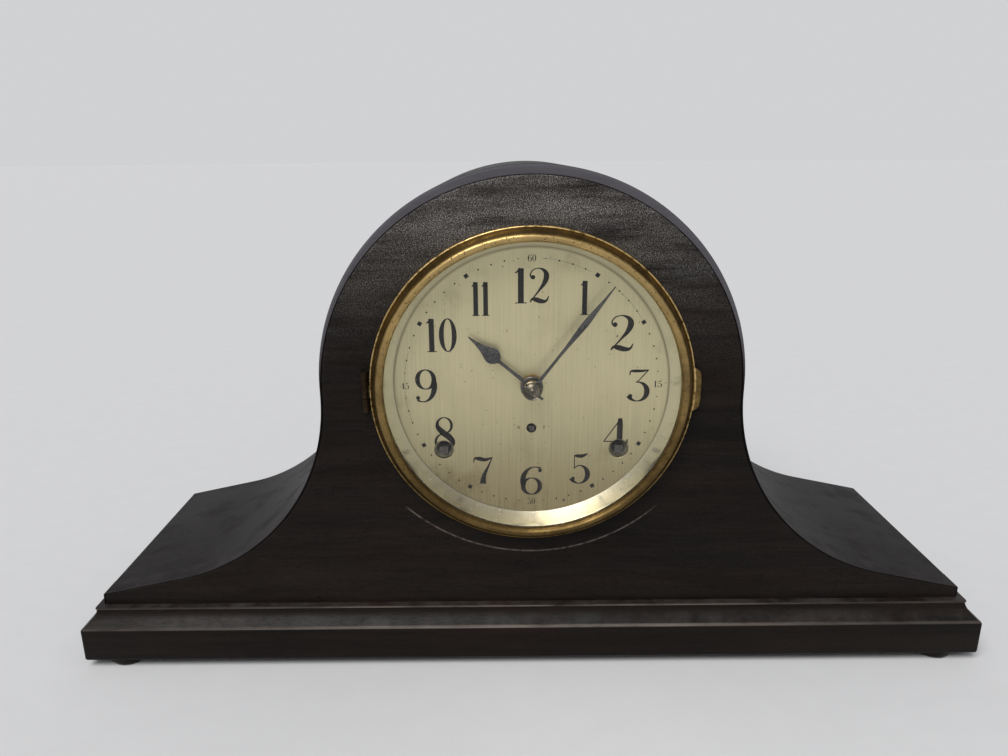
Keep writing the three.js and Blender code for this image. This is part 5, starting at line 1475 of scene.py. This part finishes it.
@dataclass
class Hands:
    """The two convex steel hands, their domed collet and the taper pin, in millimetres."""

    centre_z: float = DIAL_Z
    hour_angle: float = 309.9
    hour_back: float = -60.2
    minute_angle: float = 37.7
    minute_back: float = -65.0
    thickness: float = 1.0
    hour_line: Sequence[Point2] = ((4.8, 1.2), (9, 1.05), (15, 0.95), (21.2, 0.95), (22.9, 1.2), (23.9, 2.4),
                                   (25.5, 3.75), (27.5, 4.35), (29.6, 4.05), (32.0, 3.05), (34.7, 2.0),
                                   (37.8, 1.25), (41.1, 0.75), (44.36, 0.3))
    minute_line: Sequence[Point2] = ((3.4, 1.15), (9, 0.95), (20, 0.82), (29, 0.95), (37, 1.4), (43.5, 1.72),
                                     (48.5, 1.66), (55, 1.2), (62, 0.75), (70.2, 0.28))
    hour_hub: Point2 = (4.7, 6.2)
    minute_hub: Point2 = (2.1, 4.6)
    least_half: float = 0.12
    crown_shares: Sequence[float] = (-1, -0.88, -0.72, -0.5, -0.2, 0.2, 0.5, 0.72, 0.88, 1)
    nut_radius: float = 5.3
    nut_back: float = -66.1
    nut_height: float = 5.4

    def build(self) -> None:
        """Makes the hands, the collet and the pin."""
        hour = self.hand(self.hour_line, self.hour_hub, self.hour_back, self.hour_angle)
        hour.piece("hour_hand_convex", HAND_STEEL, "hour", "blued_steel", ["hour_hand"], sharp=50)
        minute = self.hand(self.minute_line, self.minute_hub, self.minute_back, self.minute_angle)
        minute.piece("minute_hand_convex", HAND_STEEL, "centre", "blued_steel", ["minute_hand"], sharp=50)
        self.collet()

    def hand(self, line: Sequence[Point2], hub: Point2, back: float, angle: float) -> Shape:
        """Shapes one hand.

        Args:
            line: distance from the centre and half width along the hand.
            hub: the radii of the hub's hole and of the hub.
            back: the depth of its flat back.
            angle: its angle in degrees clockwise from twelve.

        Returns:
            The hand's shape.
        """
        c, s = polar(1.0, angle)
        right, out, centre = Vector((c, 0, -s)), Vector((s, 0, c)), Vector((0, 0, self.centre_z))
        rows = []
        for far, half in smooth_line(line, 7):
            half = max(half, self.least_half)
            crown = self.thickness * (0.62 + 0.38 * min(1.0, half / 1.2))
            row = [(u, back - crown * (1 - 0.8 * abs(u) ** 3)) for u in self.crown_shares]
            row += [(u, back) for u in (0.94, -0.94)]
            rows.append([centre + out * far + right * half * u + Vector((0, depth, 0)) for u, depth in row])
        (eye, rim), t = hub, self.thickness
        ring = [(eye, 0.0), (eye, t * 0.9), (eye + 0.15, t), (rim - 0.45, t * 0.92), (rim - 0.1, t * 0.65),
                (rim, t * 0.3), (rim - 0.1, 0.0)]
        return Shape().loft(rows).turn([(radius, back - rise) for radius, rise in ring], centre, 64)

    def collet(self) -> None:
        """Makes the domed collet with the arbor's end and the taper pin through it."""
        r, h, back = self.nut_radius, self.nut_height, self.nut_back
        dome = [(2.1, 0), (r - 0.2, 0), (r, 0.25), (r, 0.6), (r * 0.93, 0.95), (r * 0.95, 1.35)]
        crown = [polar(1.0, angle) for angle in (12, 24, 36, 48, 58, 66)]
        dome += [(r * 0.95 * c, 1.35 + (h - 2.3) * s) for c, s in crown]
        dome += [(1.75, h - 0.95), (1.75, h - 0.35), (1.45, h - 0.08), (0.8, h), (0, h), (0, h * 0.6),
                 (2.1, h * 0.6)]
        nut = Shape().turn([(a, back - b) for a, b in dome], (0, 0, self.centre_z), 64)
        nut.piece("hand_collet", NUT_BRONZE, "centre", "aged_brass", ["hand_nut"], sharp=38)
        slope = Vector((0.81, 0, -0.586))
        start = Vector((0, back - h * 0.52, self.centre_z)) - slope * 5.6
        path = [start + slope * d for d in (0, 0.3, 6, 12.2, 12.5)]
        pin = Shape().wire(path, [0.3, 0.5, 0.6, 0.72, 0.5])
        pin.piece("taper_pin", HAND_STEEL, "centre", "aged_brass")


@dataclass
class Bezel:
    """The hinged bezel: brass ring with finger tab, convex glass and bright sight ring, in millimetres."""

    outer: float = 87.3
    inner: float = 79.3
    height: float = 8.6
    panel: float = -64.4
    centre_z: float = DIAL_Z
    rebate: float = 1.6
    glass_rise: float = 8.5
    glass: float = 1.8
    sight: float = 75.7
    sight_back: float = -55.7
    tab_reach: float = 3.2
    tab_half: float = 12.5
    tab: float = 2.2
    section: Sequence[Point2] = (
        (0.985, 0.012), (1.0, 0.08), (1.0, 0.2), (0.978, 0.285), (0.93, 0.32), (0.885, 0.305), (0.862, 0.27),
        (0.835, 0.275), (0.78, 0.35), (0.715, 0.47), (0.66, 0.61), (0.605, 0.75), (0.53, 0.88), (0.44, 0.965),
        (0.34, 1.0), (0.24, 0.99), (0.145, 0.94), (0.065, 0.85), (0.012, 0.74), (0.0, 0.64), (0.0, 0.565))

    @property
    def centre(self) -> Point3:
        """The dial centre on the plane of zero depth."""
        return (0.0, 0.0, self.centre_z)

    @property
    def glass_seat(self) -> float:
        """The depth of the edge of the glass."""
        return self.panel - self.height * 0.52

    def build(self) -> None:
        """Makes the ring, the glass and the sight ring."""
        self.make_ring()
        self.make_glass()
        self.make_sight_ring()

    def make_ring(self) -> None:
        """Turns the brass ring with its bead, hollow and bold roll, and adds the finger tab."""
        width = self.outer - self.inner
        profile = [(self.inner + width * r, self.panel - self.height * y)
                   for r, y in smooth_line(self.section, 4)]
        step = self.inner + self.rebate + 0.3
        profile += [(step, self.glass_seat - 0.1), (step, self.panel - 0.1)]
        ring = Shape().turn(profile, self.centre, 224)
        spread = math.degrees(math.asin(self.tab_half / self.outer))
        y0 = self.panel - 0.7 - self.tab

        def tab_line(inset: float) -> list[Point2]:
            """Draws the tab's outline.

            Args:
                inset: how far it is drawn in.

            Returns:
                The points of the outline.
            """
            root = arc((0, self.centre_z), self.outer - 0.6, -spread, spread, 12)
            reach = self.outer + self.tab_reach - inset
            half = [(self.outer - 0.2, spread - inset), (reach - 0.5, spread * 0.78), (reach, spread * 0.5)]
            crown = smooth_line([*half, (reach, 0), *[(r, -a) for r, a in reversed(half)]], 5)
            return root + [polar(r, a, (0, self.centre_z)) for r, a in crown]

        levels = [(y0, 0.7), (y0 + 0.2, 0.25), (y0 + 0.7, 0.0), (y0 + self.tab, 0.0)]
        ring.board(tab_line, [], levels)
        ring.piece("brass_bezel", BEZEL_BRASS, "bezel", "aged_brass", ["bezel_ring"], sharp=48)

    def make_glass(self) -> None:
        """Turns the convex glass."""
        edge = self.inner + self.rebate
        radius = (edge ** 2 + self.glass_rise ** 2) / (2 * self.glass_rise)
        half = math.degrees(math.asin(edge / radius))
        front = arc((0, self.glass_seat - self.glass_rise + radius), radius, -90, half - 90, 20)
        back = [(r, y + self.glass) for r, y in reversed(front)]
        pane = Shape().turn(front + back, self.centre, 128, closed=False)
        pane.piece("convex_pane", GLASS, "bezel", "glass", ["bezel_glass"], sharp=40)

    def make_sight_ring(self) -> None:
        """Turns the bright cone between the glass and the dial."""
        edge, front = self.inner + self.rebate, self.glass_seat + self.glass + 0.1
        wall, mouth = 0.7, self.inner
        cone = [(mouth + (self.sight - mouth) * t + 0.35 * math.sin(math.pi * t),
                 front + (self.sight_back - front) * t) for t in (0.06, 0.2, 0.4, 0.6, 0.8, 0.94)]
        profile = [(mouth + 0.1, front), (edge, front), (edge, front + wall), (mouth + wall, front + wall),
                   (self.sight + wall, self.sight_back), (self.sight + 0.15, self.sight_back),
                   (self.sight, self.sight_back - 0.15), *reversed(cone)]
        ring = Shape().turn(profile, self.centre, 192)
        ring.piece("bright_sight_ring", BRIGHT_PLATE, "bezel", "bright_plate", ["sight_ring"], sharp=40)


@dataclass
class Fastener:
    """A slotted round-head screw, in millimetres."""

    radius: float = 2.1
    rise: float = 0.75
    slot: float = 0.34
    depth: float = 0.42
    floor: float = 0.04
    sunk: float = 0.3
    roundness: float = 0.94
    rings: int = 10
    sides: int = 48

    def add(self, shape: Shape, x: float, y: float, z: float, angle: float) -> None:
        """Adds a screw head that faces the back.

        Args:
            shape: the shape that it joins.
            x: its place to the right.
            y: the depth of the surface under its head.
            z: its height.
            angle: the turn of its slot in degrees.
        """
        c, s = polar(1.0, angle)
        rows = []
        for ring in range(self.rings + 1):
            share = ring / self.rings
            dome = self.rise * math.sqrt(1 - self.roundness * share ** 2)
            row = []
            for u, v in circle((0, 0), self.radius * share, self.sides):
                in_slot = abs(v * c - u * s) < self.slot
                row.append((x + u, y + (max(self.floor, dome - self.depth) if in_slot else dome), z + v))
            rows.append(shape.ring(row))
        rows.append(shape.ring([(u, y - self.sunk, v) for u, v in circle((x, z), self.radius, self.sides)]))
        for one, two in zip(rows, rows[1:]):
            shape.join(one, two)


@dataclass
class CaseBack:
    """The screws of the back panel, the door hinges and the turn button, in millimetres."""

    face: float = 75.5
    hinge_x: float = 70.4
    hinge_z: Sequence[float] = (69.0, 161.0)
    screw_offset: float = 7.2
    screw_spread: float = 9.0
    button: Point3 = (-78.0, 77.4, 82.5)
    panel_screws: Sequence[Point2] = ((-200.0, 44.0), (200.0, 44.0), (-104.0, 120.0), (104.0, 120.0),
                                      (-80.0, 232.0), (80.0, 232.0), (0.0, 264.0))

    def build(self) -> None:
        """Makes all the screws."""
        for body, side in (("case", 1), ("back_door", -1)):
            shape = Shape()
            for i, z in enumerate(self.hinge_z):
                for j, rise in enumerate((-self.screw_spread, self.screw_spread)):
                    x = self.hinge_x + side * self.screw_offset
                    Fastener(1.9, 0.55).add(shape, x, self.face, z + rise, 35 + 50 * i + 70 * j + 20 * side)
            shape.piece(f"hinge_screws_{body}", PLAIN_BRASS, body, "brass")
        shape = Shape()
        for i, (x, z) in enumerate(self.panel_screws):
            Fastener(2.4, 0.8).add(shape, x, self.face, z, 25 + 47 * i)
        shape.piece("back_panel_screws", STEEL, "case", "steel")
        shape = Shape()
        Fastener(2.3, 0.7).add(shape, self.button[0], self.button[1] - 0.05, self.button[2], 30)
        shape.piece("turn_button_screw", STEEL, "turn_button", "steel")


@dataclass
class Movement:
    """Smooth forms of the movement: pendulum bob, gong coil and pillar nuts, in millimetres."""

    bob: Point3 = (0.0, 2.6, 86.4)
    bob_radius: float = 15.0
    bob_half: float = 4.5
    gong: Point3 = (8.0, 32.6, 100.9)
    gong_inner: float = 12.0
    gong_outer: float = 40.0
    gong_turns: int = 3
    turn_steps: int = 56
    gong_wire: float = 1.4
    plate_rear: float = -6.4
    dial_z: float = DIAL_Z
    pillars: Sequence[Point2] = ((52.0, 54.0), (-52.0, 54.0), (16.5, -63.0), (-16.5, -63.0))

    def build(self) -> None:
        """Makes the bob, the gong coil and the nuts."""
        r, t = self.bob_radius, self.bob_half
        lens = [(r * s, -t * c) for c, s in (polar(1.0, a) for a in range(0, 84, 7))]
        rim = [(r * 0.995, -0.5), (r, 0.0), (r * 0.995, 0.5)]
        bob = Shape().turn([*lens, *rim, *[(a, -b) for a, b in reversed(lens)]], self.bob, 80, closed=False)
        bob.piece("pendulum_lens", PLAIN_BRASS, "pendulum", "brass", ["pendulum_bob"], sharp=50)
        path = self.gong_path()
        gong = Shape().wire(path, [self.gong_wire] * len(path))
        gong.piece("gong_wire", SPRING_STEEL, "case", "blued_steel", ["gong_coil"])
        nuts = Shape()
        for x, z in self.pillars:
            row = circle((x, z + self.dial_z), 4.0, 6)
            top = circle((x, z + self.dial_z), 3.6, 6)
            nuts.loft([[(px, self.plate_rear + y, pz) for px, pz in line]
                       for y, line in ((0.02, row), (2.0, row), (2.4, top))])
            nuts.turn([(0, 2.3), (1.5, 2.3), (1.5, 3.6), (1.2, 3.9), (0, 3.9)],
                      (x, self.plate_rear, z + self.dial_z), 20, closed=False)
        nuts.piece("pillar_nuts", STEEL, "case", "steel", sharp=25)

    def gong_path(self) -> list[Point3]:
        """Winds the middle line of the gong's coil, from its inner end outwards.

        Returns:
            Its points.
        """
        steps = self.turn_steps * self.gong_turns
        path = []
        for share in (k / steps for k in range(steps + 1)):
            far = self.gong_inner + (self.gong_outer - self.gong_inner) * share
            x, z = polar(far, 180 + 360 * self.gong_turns * share, (self.gong[0], self.gong[2]))
            path.append((x, self.gong[1], z))
        return path


@dataclass
class BareWork:
    """The solids that show as they are: crisp edges softened and a finish by material slot."""

    bevelled: Sequence[str] = ("back_panel", "back_door", "door_hinge_fixed_lower", "door_hinge_fixed_upper",
                               "door_hinge_moving_lower", "door_hinge_moving_upper", "turn_button",
                               "bezel_hinge_fixed", "bezel_hinge_moving", "front_plate", "back_plate",
                               "gong_block", "suspension_cock")
    width: float = 0.0003
    sharp: float = 34.0
    bevel_from: float = 40.0

    def softener(self) -> bpy.types.NodeTree:
        """Builds a modifier tree that shades a form smooth and keeps its sharp edges.

        Returns:
            The tree.
        """
        tree = bpy.data.node_groups.new("soft_shading", "GeometryNodeTree")
        for way in ("INPUT", "OUTPUT"):
            tree.interface.new_socket("Geometry", in_out=way, socket_type="NodeSocketGeometry")
        bench = Bench(tree)
        angle, source = bench.get("GeometryNodeInputMeshEdgeAngle"), bench.get("NodeGroupInput")
        limit = math.radians(self.sharp)
        sharp = bench.get("FunctionNodeCompare", {0: angle, 1: limit}, operation="GREATER_THAN")
        inputs = {"Geometry": source, "Shade Smooth": True}
        faces = bench.get("GeometryNodeSetShadeSmooth", inputs, domain="FACE")
        inputs = {"Geometry": faces, "Selection": sharp, "Shade Smooth": False}
        bench.node("NodeGroupOutput", {0: bench.get("GeometryNodeSetShadeSmooth", inputs, domain="EDGE")})
        return tree

    def build(self) -> None:
        """Softens and dresses every solid."""
        tree = self.softener()
        for part in frame["record"]["subparts"]:
            node = frame["nodes"][part["node"]]
            node.data.materials.clear()
            finish = NODE_FINISH.get(part["node"], SLOT_FINISH[part["material_slot"]])
            node.data.materials.append(finish.material())
            if part["node"] in self.bevelled:
                edge = node.modifiers.new("eased_edges", "BEVEL")
                edge.width, edge.segments, edge.limit_method = self.width, 2, "ANGLE"
                edge.angle_limit = math.radians(self.bevel_from)
            node.modifiers.new("soft_shading", "NODES").node_group = tree
            log.info("%s: dressed in %s", part["node"], finish.name)


@dataclass
class Studio:
    """A pale floor, a soft lamp, an even sky and the camera at the viewing angle of the picture."""

    eye: Point3 = (-0.0162, -0.4603, 0.2861)
    pitch: float = 16.25
    yaw: float = 0.16
    roll: float = -0.4
    lens: float = 27.5
    sensor: float = 36.0
    sky: float = 0.38
    backdrop: float = 0.655
    sky_colour: Colour = (0.97, 0.98, 1.0)
    key: float = 2.1
    key_from: Point3 = (-0.42, -0.72, 1.25)
    key_spread: float = 38.0
    floor_radii: Point2 = (0.6, 30.0)
    floor_sides: int = 96

    def build(self) -> None:
        """Sets the floor, the light and the camera."""
        self.set_floor()
        self.set_sky()
        self.set_key()
        self.set_camera()
        bpy.context.scene.view_settings.view_transform = "Standard"

    def set_floor(self) -> None:
        """Lays a wide round pale floor."""
        count = self.floor_sides
        points = [(x, y, 0) for radius in self.floor_radii for x, y in circle((0, 0), radius, count)]
        around = [(k, (k + 1) % count, count + (k + 1) % count, count + k) for k in range(count)]
        mesh = bpy.data.meshes.new("floor")
        mesh.from_pydata(points, [], [tuple(range(count)), *around])
        floor = stand("floor", mesh)
        mesh.materials.append(FLOOR_PAINT.material())

    def set_sky(self) -> None:
        """Sets an even pale sky, lighter where it is seen than where it only lights."""
        world = bpy.context.scene.world = bpy.data.worlds.new("studio_sky")
        bench = Bench.of(world)
        path = bench.node("ShaderNodeLightPath").outputs
        seen = bench.math("MAXIMUM", path["Is Camera Ray"], path["Is Glossy Ray"])
        seen = bench.math("MAXIMUM", seen, path["Is Transmission Ray"])
        inputs = {"Color": self.sky_colour, "Strength": seen * (self.backdrop - self.sky) + self.sky}
        bench.node("ShaderNodeOutputWorld", {"Surface": bench.get("ShaderNodeBackground", inputs)})

    def set_key(self) -> None:
        """Hangs one very wide, soft lamp far off at the upper left of the front."""
        lamp = bpy.data.lights.new("key_lamp", "SUN")
        lamp.energy, lamp.angle = self.key, math.radians(self.key_spread)
        place = Vector(self.key_from)
        turned = (-place).to_track_quat("-Z", "Y").to_matrix().to_4x4()
        stand("key_lamp", lamp).matrix_world = Matrix.Translation(place) @ turned

    def set_camera(self) -> None:
        """Stands the camera where the picture was taken from."""
        level, drop = polar(1.0, self.pitch)
        across, aside = polar(1.0, self.yaw)
        ahead = Vector((aside * level, across * level, -drop))
        right = Vector((across, -aside, 0))
        up = right.cross(ahead)
        c, s = polar(1.0, self.roll)
        axes = Matrix((c * right + s * up, c * up - s * right, -ahead)).transposed()
        lens = bpy.data.cameras.new("picture_camera")
        lens.lens, lens.sensor_width, lens.sensor_fit = self.lens, self.sensor, "HORIZONTAL"
        lens.clip_start = 0.01
        camera = stand("picture_camera", lens)
        camera.matrix_world = Matrix.Translation(Vector(self.eye)) @ axes.to_4x4()
        bpy.context.scene.camera = camera


def main() -> None:
    """Builds the clock's sub-assemblies in order, then the studio."""
    logging.basicConfig(level=logging.INFO, format="%(name)s %(message)s")
    for part in (BareWork(), Plinth(), CaseShell(), CaseBack(), Dial(), Hands(), Bezel(), Movement(),
                 Studio()):
        log.info("building %s", type(part).__name__)
        part.build()


if __name__ == "__main__":
    main()
